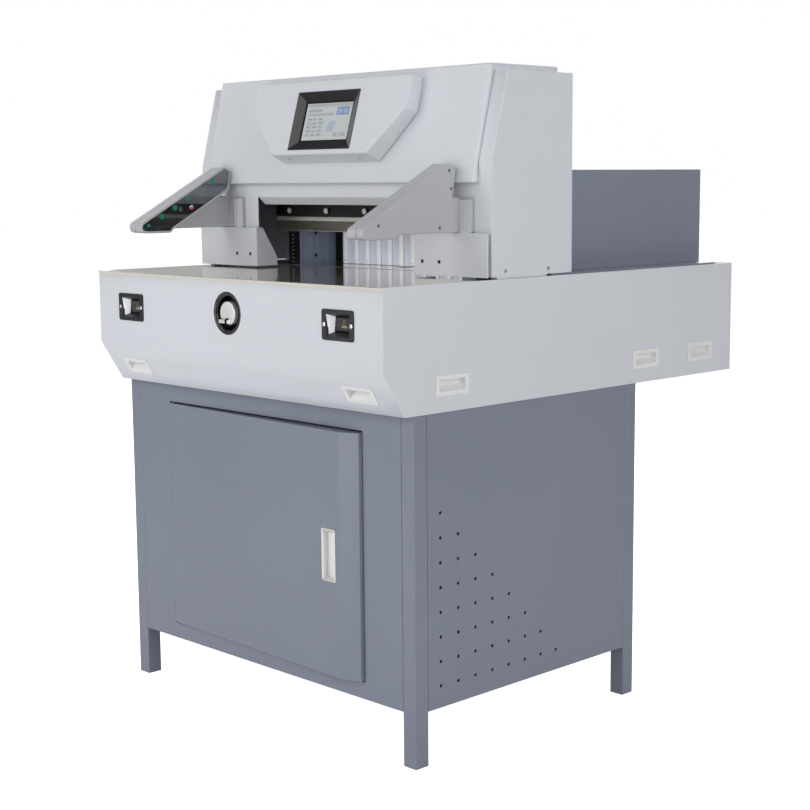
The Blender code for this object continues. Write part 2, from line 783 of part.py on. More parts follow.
# Frames on leaning faces
SLANT = math.atan2(APRON_TUCK, APRON_FOLD_HEIGHT - CABINET_HEIGHT)
COVER_FACE = (
    Matrix.Translation((0, COVER_FRONT_TOP, COVER_TOP))
    @ Matrix.Rotation(-COVER_LEAN, 4, "X")
    @ PLANES["XZ"].to_4x4()
)
POD_FACE = (
    COVER_FACE
    @ Matrix.Translation((0, -POD_FROM_TOP, POD_DEPTH_TOP))
    @ Matrix.Rotation(-POD_LEAN, 4, "X")
)
DOOR_FACE = (
    Matrix.Translation((DOOR_FOLD, CABINET_FRONT - DOOR_FOLD_PROUD, 0))
    @ Matrix.Rotation(-DOOR_LEAN, 4, "Z")
    @ PLANES["XZ"].to_4x4()
)


def slant_face(x, down):
    """A frame on the apron's slanted part, a distance down from the fold."""
    fold = Matrix.Translation((x, BODY_FRONT, APRON_FOLD_HEIGHT))
    face = fold @ Matrix.Rotation(SLANT, 4, "X") @ PLANES["XZ"].to_4x4()
    return face @ Matrix.Translation((0, -down, 0))


# Cabinet


def build_legs():
    inner = HALF_WIDTH - LEG_WIDTH
    for side in (-1, 1):
        for end, front in (("front", CABINET_FRONT), ("rear", CABINET_REAR - LEG_WIDTH)):
            name = f"leg_{end}_{side_name(side)}"
            rear = front + LEG_WIDTH
            leg = side_box(name, side, inner, HALF_WIDTH, (front, 0), (rear, CABINET_TOP), SLATE_PAINT)
            low = (front + LEG_WALL, LEG_WALL)
            high = (rear - LEG_WALL, CABINET_TOP + OVERRUN)
            bore = (inner + LEG_WALL, HALF_WIDTH - LEG_WALL)
            cut(leg, side_box(f"{name}_bore", side, *bore, low, high, collection=CUTTERS))


def build_cabinet_front():
    left = DOOR_LEFT - DOOR_HINGE_SEAM
    right = DOOR_RIGHT + DOOR_LATCH_SEAM
    bottom = DOOR_BOTTOM - DOOR_LATCH_SEAM
    top = DOOR_TOP + DOOR_TOP_SEAM
    hole = rectangle(left, bottom, right, top)
    face = rectangle(-PANEL_HALF, PANEL_CLEARANCE, PANEL_HALF, CABINET_TOP)
    here = facing_front(CABINET_FRONT + SHEET)
    panel = plate("cabinet_front_panel", [face, hole], SHEET, here, SLATE_PAINT)
    ring = [rectangle(left - SHEET, bottom - SHEET, right + SHEET, top + SHEET), hole]
    behind = facing_front(CABINET_FRONT + PAN_DEPTH)
    join(panel, plate("door_surround", ring, PAN_DEPTH - SHEET / 2, behind, collection=CUTTERS))
    add_returns(panel, CABINET_FRONT + SHEET / 2, CABINET_FRONT + PAN_DEPTH)
    reach = PIN_REACH + GAP
    length = DOOR_HEIGHT + 2 * reach
    middle = Matrix.Translation((PIN_X, PIN_Y, DOOR_BOTTOM + DOOR_HEIGHT / 2))
    radius = PIN_RADIUS + 2 * GAP
    cut(panel, cylinder("pin_holes", radius, length, middle, PIN_SIDES, collection=CUTTERS))


def return_edges():
    """The low sides of the folded edges along the top and the bottom of a cabinet panel."""
    return (("top", CABINET_TOP - SHEET * 3 / 2), ("bottom", PANEL_CLEARANCE + SHEET / 2))


def add_returns(panel, front, rear):
    """Folded edges along the top and the bottom of a panel at the cabinet's front or back."""
    half = PANEL_HALF - SHEET
    for edge, low in return_edges():
        corners = ((-half, front, low), (half, rear, low + SHEET))
        join(panel, box(f"{panel.name}_{edge}_return", *corners, collection=CUTTERS))


def build_cabinet_back():
    face = rectangle(-PANEL_HALF, PANEL_CLEARANCE, PANEL_HALF, CABINET_TOP)
    slots = []
    for row in range(LOUVRE_ROWS):
        for column in (-1, 1):
            level = CABINET_HEIGHT - LOUVRE_DROP + row * LOUVRE_PITCH
            slots.append(centred(LOUVRE_LENGTH, LOUVRE_HEIGHT, column * LOUVRE_SPREAD, level))
    panel = plate("cabinet_back_panel", [face, *slots], SHEET, facing_front(CABINET_REAR), SLATE_PAINT)
    add_returns(panel, CABINET_REAR - PAN_DEPTH, CABINET_REAR - SHEET / 2)


def build_cabinet_side(side):
    front = CABINET_FRONT + LEG_WIDTH + GAP
    rear = CABINET_REAR - LEG_WIDTH - GAP
    name = f"cabinet_{side_name(side)}_panel"
    holes = []
    for column in range(VENT_COLUMNS):
        for row in range(VENT_COLUMNS - column):
            y = CABINET_FRONT + VENT_FROM_FRONT + column * VENT_PITCH
            z = PANEL_CLEARANCE + VENT_FROM_BOTTOM + row * VENT_PITCH
            holes.append(circle(y, z, VENT_RADIUS, VENT_SIDES))
    face = rectangle(front, PANEL_CLEARANCE, rear, CABINET_TOP)
    panel = side_plate(name, [face, *holes], side, HALF_WIDTH - SHEET, HALF_WIDTH, SLATE_PAINT)
    for edge, low in return_edges():
        corners = ((front + SHEET, low), (rear - SHEET, low + SHEET))
        strip = f"{name}_{edge}_return"
        outer = HALF_WIDTH - SHEET / 2
        join(panel, side_box(strip, side, HALF_WIDTH - PAN_DEPTH, outer, *corners, collection=CUTTERS))


def build_cabinet_floor():
    inner = HALF_WIDTH - LEG_WIDTH - GAP
    front = CABINET_FRONT + SHEET + GAP
    rear = CABINET_REAR - SHEET - GAP
    front_step = CABINET_FRONT + LEG_WIDTH + GAP
    rear_step = CABINET_REAR - LEG_WIDTH - GAP
    half = [(inner, front), (inner, front_step), (INNER_HALF, front_step)]
    half += [(INNER_HALF, rear_step), (inner, rear_step), (inner, rear)]
    outline = half + [(-x, y) for x, y in reversed(half)]
    level = lying(PANEL_CLEARANCE + SHEET * 3 / 2 + GAP)
    plate("cabinet_floor", [outline], SHEET, level, SLATE_PAINT)


def build_door():
    back = CABINET_FRONT + DOOR_INSET
    path = [
        (DOOR_LEFT, back),
        (DOOR_LEFT, CABINET_FRONT - DOOR_EDGE_PROUD),
        (DOOR_FOLD, CABINET_FRONT - DOOR_FOLD_PROUD),
        (DOOR_RIGHT, CABINET_FRONT - DOOR_BAND_PROUD),
        (DOOR_RIGHT, back),
    ]
    door = plate("cabinet_door", [path], DOOR_HEIGHT, lying(DOOR_BOTTOM), SLATE_PAINT)
    inner = offset(path, SHEET)
    inner[0] = (inner[0][0], back + OVERRUN)
    inner[-1] = (inner[-1][0], back + OVERRUN)
    height = DOOR_HEIGHT - 2 * SHEET
    cut(door, plate("door_hollow", [inner], height, lying(DOOR_BOTTOM + SHEET), collection=CUTTERS))
    for end, face, out in (("upper", DOOR_TOP, 1), ("lower", DOOR_BOTTOM, -1)):
        middle = face + out * (PIN_REACH - PIN_ROOT) / 2
        here = Matrix.Translation((PIN_X, PIN_Y, middle))
        length = PIN_REACH + PIN_ROOT
        join(door, cylinder(f"{end}_pin", PIN_RADIUS, length, here, PIN_SIDES, collection=CUTTERS))
    flange = (PULL_WIDTH, PULL_HEIGHT)
    block = (PULL_WIDTH - 2 * PULL_RIM, PULL_HEIGHT - 2 * PULL_RIM)
    centre = (-PULL_FROM_FOLD - PULL_WIDTH / 2, DOOR_BOTTOM + PULL_RISE + PULL_HEIGHT / 2, 0)
    where = DOOR_FACE @ Matrix.Translation(centre)
    cut(door, opening_for("door_pull", where, block))
    rim = (PULL_RIM, PULL_FLANGE)
    pull = flanged_block("door_pull", where, flange, *rim, block, PULL_DEPTH, WHITE_PLASTIC)
    inner = [size - 2 * PULL_WALL for size in block]
    low = (-inner[0] / 2, -inner[1] / 2, PULL_WALL - PULL_DEPTH)
    high = (inner[0] / 2, inner[1] / 2, OVERRUN)
    cut(pull, box("pull_recess", low, high, collection=CUTTERS, where=where))
    turn_about(door, (PIN_X, PIN_Y, DOOR_BOTTOM))


# Body


def module_face(side):
    return along_y(side * MODULE_X, BODY_FRONT, MODULE_Z)


def build_apron():
    top = TABLE_UNDER - GAP
    tuck = BODY_FRONT + APRON_TUCK
    path = [
        (BODY_FRONT + PAN_DEPTH, top),
        (BODY_FRONT, top),
        (BODY_FRONT, APRON_FOLD_HEIGHT),
        (tuck, CABINET_HEIGHT),
        (tuck + APRON_FOOT, CABINET_HEIGHT),
    ]
    apron = across("front_apron", [sheet_outline(path, SHEET)], INNER_HALF, PALE_PAINT)
    cup = (MODULE_CUP_WIDTH, MODULE_CUP_HEIGHT)
    for side in (-1, 1):
        cut(apron, opening_for(f"{side_name(side)}_module", module_face(side), cup))
    radius = WELL_BORE_RADIUS + GAP
    here = along_y(0, BODY_FRONT, WHEEL_Z)
    cut(apron, cylinder("well_hole", radius, 2 * OVERRUN, here, WELL_STEPS, collection=CUTTERS))
    block = (FRONT_GRIP_WIDTH - GRIP_WIDTH + GRIP_CUP_WIDTH, GRIP_CUP_HEIGHT)
    for side in (-1, 1):
        here = slant_face(side * FRONT_GRIP_X, FRONT_GRIP_DOWN)
        name = f"front_grip_{side_name(side)}"
        cut(apron, opening_for(name, here, block))
        build_grip(name, here, FRONT_GRIP_WIDTH)


def build_grip(name, where, width):
    narrower = GRIP_WIDTH - width
    block = (GRIP_CUP_WIDTH - narrower, GRIP_CUP_HEIGHT)
    flange = (width, GRIP_HEIGHT)
    rim = (GRIP_CORNER, GRIP_PROUD)
    grip = flanged_block(name, where, flange, *rim, block, GRIP_CUP_DEPTH, WHITE_PLASTIC)
    half = GRIP_SCOOP_HEIGHT / 2
    length = GRIP_SCOOP_WIDTH - narrower
    scoop = [(-half - GRIP_SCOOP_FLARE, OVERRUN), (-half, 0)]
    scoop += [(half - GRIP_SCOOP_SLOPE, -GRIP_SCOOP_DEPTH), (half, -GRIP_SCOOP_DEPTH), (half, OVERRUN)]
    here = where @ Matrix.Translation((-length / 2, 0, 0)) @ PLANES["YZ"].to_4x4()
    cut(grip, plate(f"{name}_scoop", [scoop], length, here, collection=CUTTERS))


def build_body_side(side):
    tuck = BODY_FRONT + APRON_TUCK
    face = [
        (BODY_FRONT, TABLE_HEIGHT),
        (BODY_FRONT, APRON_FOLD_HEIGHT),
        (tuck, CABINET_HEIGHT),
        (BODY_REAR, CABINET_HEIGHT),
        (BODY_REAR, TABLE_HEIGHT),
    ]
    name = f"body_{side_name(side)}_panel"
    places = [("front", SIDE_GRIP_FRONT_Y), ("middle", SIDE_GRIP_MIDDLE_Y)]
    places.append(("rear", SIDE_GRIP_REAR_Y))
    hole = (GRIP_CUP_WIDTH + 2 * GAP, GRIP_CUP_HEIGHT + 2 * GAP)
    holes = [centred(*hole, y, SIDE_GRIP_Z) for _, y in places]
    panel = side_plate(name, [face, *holes], side, HALF_WIDTH - SHEET, HALF_WIDTH, PALE_PAINT)
    low = (BODY_FRONT + 2 * PAN_DEPTH, TABLE_UNDER - GAP - SHEET)
    high = (BODY_REAR - 2 * PAN_DEPTH, TABLE_UNDER - GAP)
    width = (HALF_WIDTH - PAN_DEPTH, HALF_WIDTH - SHEET / 2)
    join(panel, side_box(f"{name}_ledge", side, *width, low, high, collection=CUTTERS))
    for where_name, y in places:
        here = facing_side(HALF_WIDTH, side) @ Matrix.Translation((side * y, SIDE_GRIP_Z, 0))
        build_grip(f"{side_name(side)}_grip_{where_name}", here, GRIP_WIDTH)


def build_body_rear():
    face = rectangle(-INNER_HALF, CABINET_HEIGHT, INNER_HALF, TABLE_UNDER - GAP)
    hole = centred(INLET_CUP_WIDTH + 2 * GAP, INLET_CUP_HEIGHT + 2 * GAP, INLET_X, INLET_Z)
    slots = []
    for row in range(LOUVRE_ROWS):
        level = CABINET_HEIGHT + REAR_LOUVRE_RISE + row * LOUVRE_PITCH
        slots.append(centred(LOUVRE_LENGTH, LOUVRE_HEIGHT, LOUVRE_SPREAD, level))
    here = facing_front(BODY_REAR)
    plate("body_rear_panel", [face, hole, *slots], SHEET, here, PALE_PAINT)


def build_machine_base():
    front = BODY_FRONT + APRON_TUCK + APRON_FOOT + GAP
    rear = BODY_REAR - SHEET - GAP
    low = (-INNER_HALF, front, CABINET_HEIGHT)
    base = box("machine_base", low, (INNER_HALF, rear, BASE_TOP), BLACK_CASTING)
    starts = (BODY_FRONT + PILLOW_FRONT_SETBACK, rear - PILLOW_REAR_MARGIN - PILLOW_DEPTH)
    for end, y in zip(("front", "rear"), starts):
        low = (-PILLOW_HALF, y, CABINET_HEIGHT)
        high = (PILLOW_HALF, y + PILLOW_DEPTH, WHEEL_Z + PILLOW_HEAD)
        join(base, box(f"{end}_pillow", low, high, collection=CUTTERS))
    bore(base)


def bore(target):
    """Clears the gauge screw's way through a piece, all along the body."""
    radius = SCREW_RADIUS + SCREW_CLEARANCE
    here = along_y(0, 0, WHEEL_Z)
    cut(target, cylinder(f"{target.name}_bore", radius, BODY_DEPTH, here, SCREW_SIDES, collection=CUTTERS))


def build_tables():
    outer = FRAME_INNER + FRAME_WIDTH + GAP
    inner = FRAME_INNER - GAP
    step = outer + GAP
    half = [(INNER_HALF, BODY_FRONT), (INNER_HALF, STICK_REAR)]
    half += [(step, STICK_REAR), (step, STICK_FRONT - GAP)]
    outline = half + [(-x, y) for x, y in reversed(half)]
    level = lying(TABLE_UNDER)
    front = plate("front_table", [outline], TABLE_THICKNESS, level, POLISHED_STEEL)
    stick_under = TABLE_HEIGHT - STICK_DROP - STICK_WIDTH
    ledge_front = STICK_FRONT - STICK_WIDTH
    ledge_low = TABLE_UNDER - STICK_WIDTH
    ledge = [
        (ledge_front, ledge_low),
        (STICK_REAR, ledge_low),
        (STICK_REAR, stick_under - GAP),
        (STICK_FRONT - GAP, stick_under - GAP),
        (STICK_FRONT - GAP, TABLE_UNDER + TABLE_THICKNESS / 2),
        (ledge_front, TABLE_UNDER + TABLE_THICKNESS / 2),
    ]
    join(front, across("stick_ledge", [ledge], inner, collection=CUTTERS))
    low = (-inner, STICK_FRONT, stick_under)
    box("cutting_stick", low, (inner, STICK_REAR, TABLE_HEIGHT - STICK_DROP), RED_PLASTIC)
    notch = FRAME_REAR + GAP
    near = STICK_REAR + GAP
    half = [(inner, near), (inner, notch), (outer, notch), (outer, near)]
    half += [(INNER_HALF, near), (INNER_HALF, BODY_REAR)]
    outline = half + [(-x, y) for x, y in reversed(half)]
    slot = rectangle(-SLOT_WIDTH / 2, SLOT_FRONT, SLOT_WIDTH / 2, SLOT_REAR)
    plate("rear_table", [outline, slot], TABLE_THICKNESS, level, POLISHED_STEEL)


# Controls on the apron


def build_module(side):
    where = module_face(side)
    name = f"{side_name(side)}_button_bezel"
    cup = (MODULE_CUP_WIDTH, MODULE_CUP_HEIGHT)
    flange = (MODULE_WIDTH, MODULE_HEIGHT)
    depth = MODULE_CUP_DEPTH
    rim = (MODULE_CORNER, MODULE_FLANGE)
    bezel = flanged_block(name, where, flange, *rim, cup, depth, CHARCOAL_PLASTIC)
    floor = MODULE_FLANGE - RECESS_DEPTH
    back = (RECESS_BACK_WIDTH, RECESS_BACK_HEIGHT)
    mouth = (RECESS_WIDTH, RECESS_HEIGHT)
    cut(bezel, funnel(f"{name}_recess", where, back, floor, mouth, MODULE_FLANGE))
    low = (-back[0] / 2, -back[1] / 2, floor - RECESS_POCKET)
    high = (back[0] / 2, back[1] / 2, floor + OVERRUN)
    cut(bezel, box(f"{name}_pocket", low, high, collection=CUTTERS, where=where))
    half_width = BUTTON_STEM_WIDTH / 2
    half_height = BUTTON_STEM_HEIGHT / 2
    room = BUTTON_CLEARANCE
    low = (-half_width - room, -half_height - room, -depth - OVERRUN)
    high = (half_width + room, half_height + room, floor + OVERRUN)
    cut(bezel, box(f"{name}_guide", low, high, collection=CUTTERS, where=where))
    rear = floor - RECESS_POCKET + BUTTON_BACK_CLEARANCE
    low = (-BUTTON_WIDTH / 2, -BUTTON_HEIGHT / 2, rear)
    high = (BUTTON_WIDTH / 2, BUTTON_HEIGHT / 2, rear + BUTTON_CAP)
    button = box(f"{side_name(side)}_cut_button", low, high, BLACK_PLASTIC, where=where)
    low = (-half_width, -half_height, rear - BUTTON_STEM_REACH)
    high = (half_width, half_height, rear + BUTTON_CAP / 2)
    join(button, box(f"{button.name}_stem", low, high, collection=CUTTERS, where=where))


def build_handwheel():
    face = along_y(0, BODY_FRONT, WHEEL_Z)
    hole = SCREW_RADIUS + SCREW_CLEARANCE
    bore_radius = WELL_BORE_RADIUS - WELL_WALL
    floor = WELL_WALL - WELL_DEPTH
    rim_width = WELL_RADIUS - bore_radius
    rim = [(bore_radius + rim_width * out, WELL_FLANGE * up) for out, up in WELL_RIM_SHARES]
    profile = [rim[-1], (WELL_RADIUS, GAP), (WELL_BORE_RADIUS, GAP), (WELL_BORE_RADIUS, -WELL_DEPTH)]
    profile += [(hole, -WELL_DEPTH), (hole, floor), (bore_radius, floor), (bore_radius, -WELL_WALL)]
    profile += rim[:-1]
    turned("handwheel_well", profile, face, WELL_STEPS, BLACK_PLASTIC, ring=True)
    front = MODULE_FLANGE - WHEEL_RECESS
    back = front - WHEEL_THICKNESS
    inner = WHEEL_RADIUS - WHEEL_EDGE
    profile = [(0, front), (inner, front), (WHEEL_RADIUS, front - WHEEL_EDGE), (WHEEL_RADIUS, back)]
    profile += [(HUB_RADIUS, back), (HUB_RADIUS, back - HUB_LENGTH), (0, back - HUB_LENGTH)]
    wheel = turned("handwheel", profile, face, WELL_STEPS, POLISHED_STEEL)
    axis_depth = front - CRANK_SINK
    reach = CRANK_RADIUS + CRANK_CLEARANCE
    low = (-2 * WHEEL_RADIUS, -CRANK_DROP - reach, axis_depth - reach)
    high = (CRANK_PIVOT_X + reach, reach - CRANK_DROP, OVERRUN)
    cut(wheel, box("crank_groove", low, high, collection=CUTTERS, where=face))
    pivot = Matrix.Translation((CRANK_PIVOT_X, BODY_FRONT - axis_depth, WHEEL_Z - CRANK_DROP))
    outline = []
    for step in range(CRANK_END_STEPS + 1):
        turn = math.pi * (step / CRANK_END_STEPS - 1 / 2)
        outline.append((CRANK_RADIUS * math.cos(turn), CRANK_RADIUS * math.sin(turn)))
    outline += [(CRANK_RADIUS - CRANK_LENGTH - u, -v) for u, v in outline]
    lowered = pivot @ Matrix.Translation((0, 0, -CRANK_RADIUS))
    crank = plate("handwheel_crank", [outline], 2 * CRANK_RADIUS, lowered, WHITE_PLASTIC)
    turn_about(crank, pivot.translation)
    length = 2 * (CRANK_RADIUS + CRANK_PIN_REACH)
    join(crank, cylinder("crank_pin", CRANK_PIN_RADIUS, length, pivot, PIN_SIDES, collection=CUTTERS))
    radius = CRANK_PIN_RADIUS + CRANK_CLEARANCE
    hole_length = length + 2 * CRANK_CLEARANCE
    cut(wheel, cylinder("crank_pin_hole", radius, hole_length, pivot, PIN_SIDES, collection=CUTTERS))
    start = BODY_FRONT - back + HUB_LENGTH + GAP
    end = BODY_REAR - SCREW_REAR_MARGIN
    middle = along_y(0, (start + end) / 2, WHEEL_Z)
    cylinder("gauge_screw", SCREW_RADIUS, end - start, middle, SCREW_SIDES, BRUSHED_STEEL)


# Tower


def build_tower_side(side):
    face = [
        (TOWER_FRONT, TOWER_FOOT),
        (TOWER_REAR, TOWER_FOOT),
        (TOWER_REAR, TOWER_TOP),
        (TOWER_TOP_FRONT, TOWER_TOP),
        (TOWER_FRONT, TOWER_KINK),
    ]
    name = f"tower_{side_name(side)}_panel"
    panel = side_plate(name, [face], side, HALF_WIDTH - SHEET, HALF_WIDTH, PALE_PAINT)
    low = (TOWER_FRONT + PAN_DEPTH, TABLE_HEIGHT + GAP)
    high = (GUARD_FOOT_FRONT - PAN_DEPTH, TOWER_FOOT + SHEET)
    width = (HALF_WIDTH - SHEET - PAN_DEPTH, HALF_WIDTH - SHEET + GAP)
    join(panel, side_box(f"{name}_foot", side, *width, low, high, collection=CUTTERS))


def build_fascia():
    path = [
        (TOWER_REAR, TOWER_TOP),
        (TOWER_TOP_FRONT, TOWER_TOP),
        (TOWER_FRONT, TOWER_KINK),
        (TOWER_FRONT, TOWER_FOOT),
    ]
    fascia = across("tower_fascia", [sheet_outline(path, SHEET)], INNER_HALF, PALE_PAINT)
    low = (-MOUTH_HALF, TOWER_FRONT - OVERRUN, TOWER_FOOT - OVERRUN)
    high = (MOUTH_HALF, TOWER_FRONT + OVERRUN, MOUTH_TOP)
    cut(fascia, box("mouth", low, high, collection=CUTTERS))
    edge = [
        (TOWER_FRONT + SHEET / 2, MOUTH_TOP + LIP_ROOT),
        (TOWER_FRONT, MOUTH_TOP + LIP_ROOT / 2),
        (TOWER_FRONT, MOUTH_TOP),
        (TOWER_FRONT + LIP_DEPTH, MOUTH_TOP - LIP_DROP),
    ]
    half = MOUTH_HALF - LIP_INSET
    join(fascia, across("mouth_lip", [sheet_outline(edge, SHEET)], half, collection=CUTTERS))


def build_cover():
    back = TOWER_REAR - COVER_REAR_INSET
    deck = TOWER_TOP + GAP
    casing_front = TOWER_FRONT - GAP
    path = [
        (back, deck),
        (back, COVER_TOP),
        (COVER_FRONT_TOP, COVER_TOP),
        (COVER_FRONT_BOTTOM, COVER_BOTTOM),
        (casing_front, COVER_BOTTOM),
    ]
    casing = [(casing_front, TOWER_KINK), (TOWER_TOP_FRONT - GAP, deck)]
    cover = across("tower_cover", [path + casing], COVER_HALF, PALE_PAINT)
    inner = offset(path, SHEET)
    inner[0] = (inner[0][0], deck - OVERRUN)
    inner[-1] = (casing_front + OVERRUN, inner[-1][1])
    inner += [(casing_front + OVERRUN, TOWER_KINK), (TOWER_TOP_FRONT + OVERRUN, deck - OVERRUN)]
    cut(cover, across("cover_hollow", [inner], COVER_HALF - SHEET, collection=CUTTERS))


def build_tower_rear():
    top = TOWER_TOP - SHEET - GAP
    arch = GUARD_TOP + GUARD_TOWER_GAP
    inner = GUARD_HALF + GUARD_TOWER_GAP
    half = [(inner, TOWER_FOOT), (INNER_HALF, TOWER_FOOT), (INNER_HALF, top)]
    outline = half + [(-x, z) for x, z in reversed(half)] + [(-inner, arch), (inner, arch)]
    plate("tower_rear_panel", [outline], SHEET, facing_front(TOWER_REAR), PALE_PAINT)


def build_pod():
    wide = POD_WIDTH / 2
    narrow = POD_NARROW_WIDTH / 2
    flare = POD_FOOT_FLARE
    front = [(wide, -POD_FROM_TOP), (-wide, -POD_FROM_TOP), (-wide, -POD_WAIST)]
    front += [(-narrow, -POD_BOTTOM), (narrow, -POD_BOTTOM), (wide, -POD_WAIST)]
    foot = narrow + flare / 2
    back = [*front[:3], (-foot, -POD_BOTTOM - flare), (foot, -POD_BOTTOM - flare), front[5]]
    grade = math.tan(POD_LEAN)
    rise = [POD_DEPTH_TOP - (v + POD_FROM_TOP) * grade for _, v in front]
    count = len(front)
    pod = loft("display_pod", back, front, [GAP] * count, rise, COVER_FACE, PALE_PAINT)
    inner_back = inset(back, POD_WALL)
    inner_front = inset(front, POD_WALL)
    low = [-OVERRUN] * count
    high = [height - POD_WALL for height in rise]
    cut(pod, loft("pod_hollow", inner_back, inner_front, low, high, COVER_FACE, collection=CUTTERS))
    centre = POD_FACE @ Matrix.Translation((0, -SCREEN_FROM_POD_TOP - SCREEN_BEZEL_HEIGHT / 2, 0))
    cut(pod, opening_for("screen", centre, (SCREEN_BEZEL_WIDTH, SCREEN_BEZEL_HEIGHT)))
    build_screen(centre)


def build_screen(where):
    bottom = SCREEN_BEZEL_PROUD - SCREEN_BEZEL_DEPTH
    outline = centred(SCREEN_BEZEL_WIDTH, SCREEN_BEZEL_HEIGHT)
    sunk = where @ Matrix.Translation((0, 0, bottom))
    bezel = plate("screen_bezel", [outline], SCREEN_BEZEL_DEPTH, sunk, CHARCOAL_PLASTIC)
    view = (SCREEN_VIEW_WIDTH, SCREEN_VIEW_HEIGHT)
    low = (-view[0] / 2, -view[1] / 2, -OVERRUN)
    high = (view[0] / 2, view[1] / 2, OVERRUN)
    cut(bezel, box("screen_view", low, high, collection=CUTTERS, where=where))
    mouth = (SCREEN_BEZEL_WIDTH - 2 * SCREEN_BEZEL_LAND, SCREEN_BEZEL_HEIGHT - 2 * SCREEN_BEZEL_LAND)
    ledge = bottom + SCREEN_BEZEL_STEP
    cut(bezel, funnel("screen_slope", where, view, ledge, mouth, SCREEN_BEZEL_PROUD))
    glass = bottom - GAP
    low = (-SCREEN_BODY_WIDTH / 2, -SCREEN_BODY_HEIGHT / 2, glass - SCREEN_BODY_DEPTH)
    high = (SCREEN_BODY_WIDTH / 2, SCREEN_BODY_HEIGHT / 2, glass)
    box("touch_screen", low, high, SCREEN_GLASS, where=where)


def build_table_bracket(side):
    front = TOWER_FRONT - BRACKET_PROUD
    inner = MOUTH_HALF - GAP - BRACKET_THICKNESS
    foot = TABLE_HEIGHT + BRACKET_FOOT_GAP
    corner = BRACKET_OUTER - BRACKET_CORNER
    shoulder = BRACKET_TOP - BRACKET_CORNER
    outline = [(inner, foot), (BRACKET_OUTER, foot), (BRACKET_OUTER, shoulder)]
    outline += [(corner, BRACKET_TOP), (inner, BRACKET_TOP)]
    outline = [(side * x, z) for x, z in outline]
    level = foot + BRACKET_HOLE_RISE
    holes = []
    for x in (BRACKET_HOLE_INNER, BRACKET_HOLE_INNER + BRACKET_HOLE_PITCH):
        holes.append(circle(side * (MOUTH_HALF + x), level, BRACKET_HOLE_RADIUS, BRACKET_HOLE_SIDES))
    name = f"{side_name(side)}_table_bracket"
    here = facing_front(front + BRACKET_THICKNESS)
    bracket = plate(name, [outline, *holes], BRACKET_THICKNESS, here, PALE_PAINT)
    step = foot + BRACKET_FLANGE_STEP
    flange = [(front, foot), (front + BRACKET_FLANGE_BOTTOM, foot), (front + BRACKET_FLANGE_BOTTOM, step)]
    flange += [(front + BRACKET_FLANGE_TOP, BRACKET_TOP), (front, BRACKET_TOP)]
    width = (inner, inner + BRACKET_THICKNESS)
    join(bracket, side_plate(f"{name}_flange", [flange], side, *width, collection=CUTTERS))
    start = MOUTH_HALF + BRACKET_THICKNESS
    low = (front + BRACKET_THICKNESS * 2 / 3, level - BRACKET_SPACER_HEIGHT / 2)
    high = (TOWER_FRONT - GAP, level + BRACKET_SPACER_HEIGHT / 2)
    width = (start, start + BRACKET_SPACER_WIDTH)
    join(bracket, side_box(f"{name}_spacer", side, *width, low, high, collection=CUTTERS))


# Sensor arms


def arm_point(ahead, rise):
    return (TOWER_FRONT - ahead, TABLE_HEIGHT + rise)


ARM_EDGE = [
    arm_point(ARM_PEAK_AHEAD, ARM_PEAK_RISE),
    arm_point(ARM_BROW_AHEAD, ARM_BROW_RISE),
    arm_point(ARM_NOSE_AHEAD, ARM_NOSE_RISE),
    arm_point(ARM_NOSE_LOW_AHEAD, ARM_NOSE_LOW_RISE),
    arm_point(ARM_TOE_AHEAD, ARM_BELLY_RISE),
    arm_point(ARM_BELLY_AHEAD, ARM_BELLY_RISE),
]
ARM_BAND = [arm_point(ARM_BAND_END_AHEAD, ARM_BAND_END_RISE), arm_point(ARM_BAND_AHEAD, ARM_BAND_RISE)]
ARM_TAIL = [arm_point(ARM_BACK_AHEAD, ARM_SHOULDER_RISE)]
HOUSING_EDGE = ARM_EDGE + ARM_BAND + ARM_TAIL


def build_arm(side):
    inner = ARM_OUTER - ARM_COVER_WIDTH
    foot_back = TOWER_FRONT - GAP
    casting = ARM_EDGE + [
        arm_point(ARM_STEP_AHEAD, ARM_WEB_RISE),
        (foot_back, ARM_WEB_BOTTOM),
        (foot_back, ARM_WEB_TOP),
        arm_point(ARM_NOTCH_AHEAD, ARM_NOTCH_RISE),
        arm_point(ARM_WAIST_AHEAD, ARM_WAIST_RISE),
    ]
    name = f"{side_name(side)}_arm_bracket"
    bracket = side_plate(name, [casting + ARM_TAIL], side, inner, ARM_OUTER, ARM_PAINT)
    middle = inner + ARM_COVER_WIDTH / 2 - ARM_FOOT_SHIFT
    low = (foot_back - ARM_FOOT_FRONT, ARM_WEB_BOTTOM)
    edges = (middle - ARM_FOOT_WIDTH / 2, middle + ARM_FOOT_WIDTH / 2)
    join(bracket, side_box(f"{name}_foot", side, *edges, low, (foot_back, ARM_WEB_TOP), collection=CUTTERS))
    outer = inner - GAP
    name = f"{side_name(side)}_arm_housing"
    start = outer - ARM_HOUSING_WIDTH
    housing = side_plate(name, [HOUSING_EDGE], side, start, outer, ARM_PAINT)
    window = inset(HOUSING_EDGE, WINDOW_INSET)
    reach = (start - OVERRUN, start + WINDOW_DEPTH)
    cut(housing, side_plate(f"{name}_window", [window], side, *reach, collection=CUTTERS))


# Cutting gear


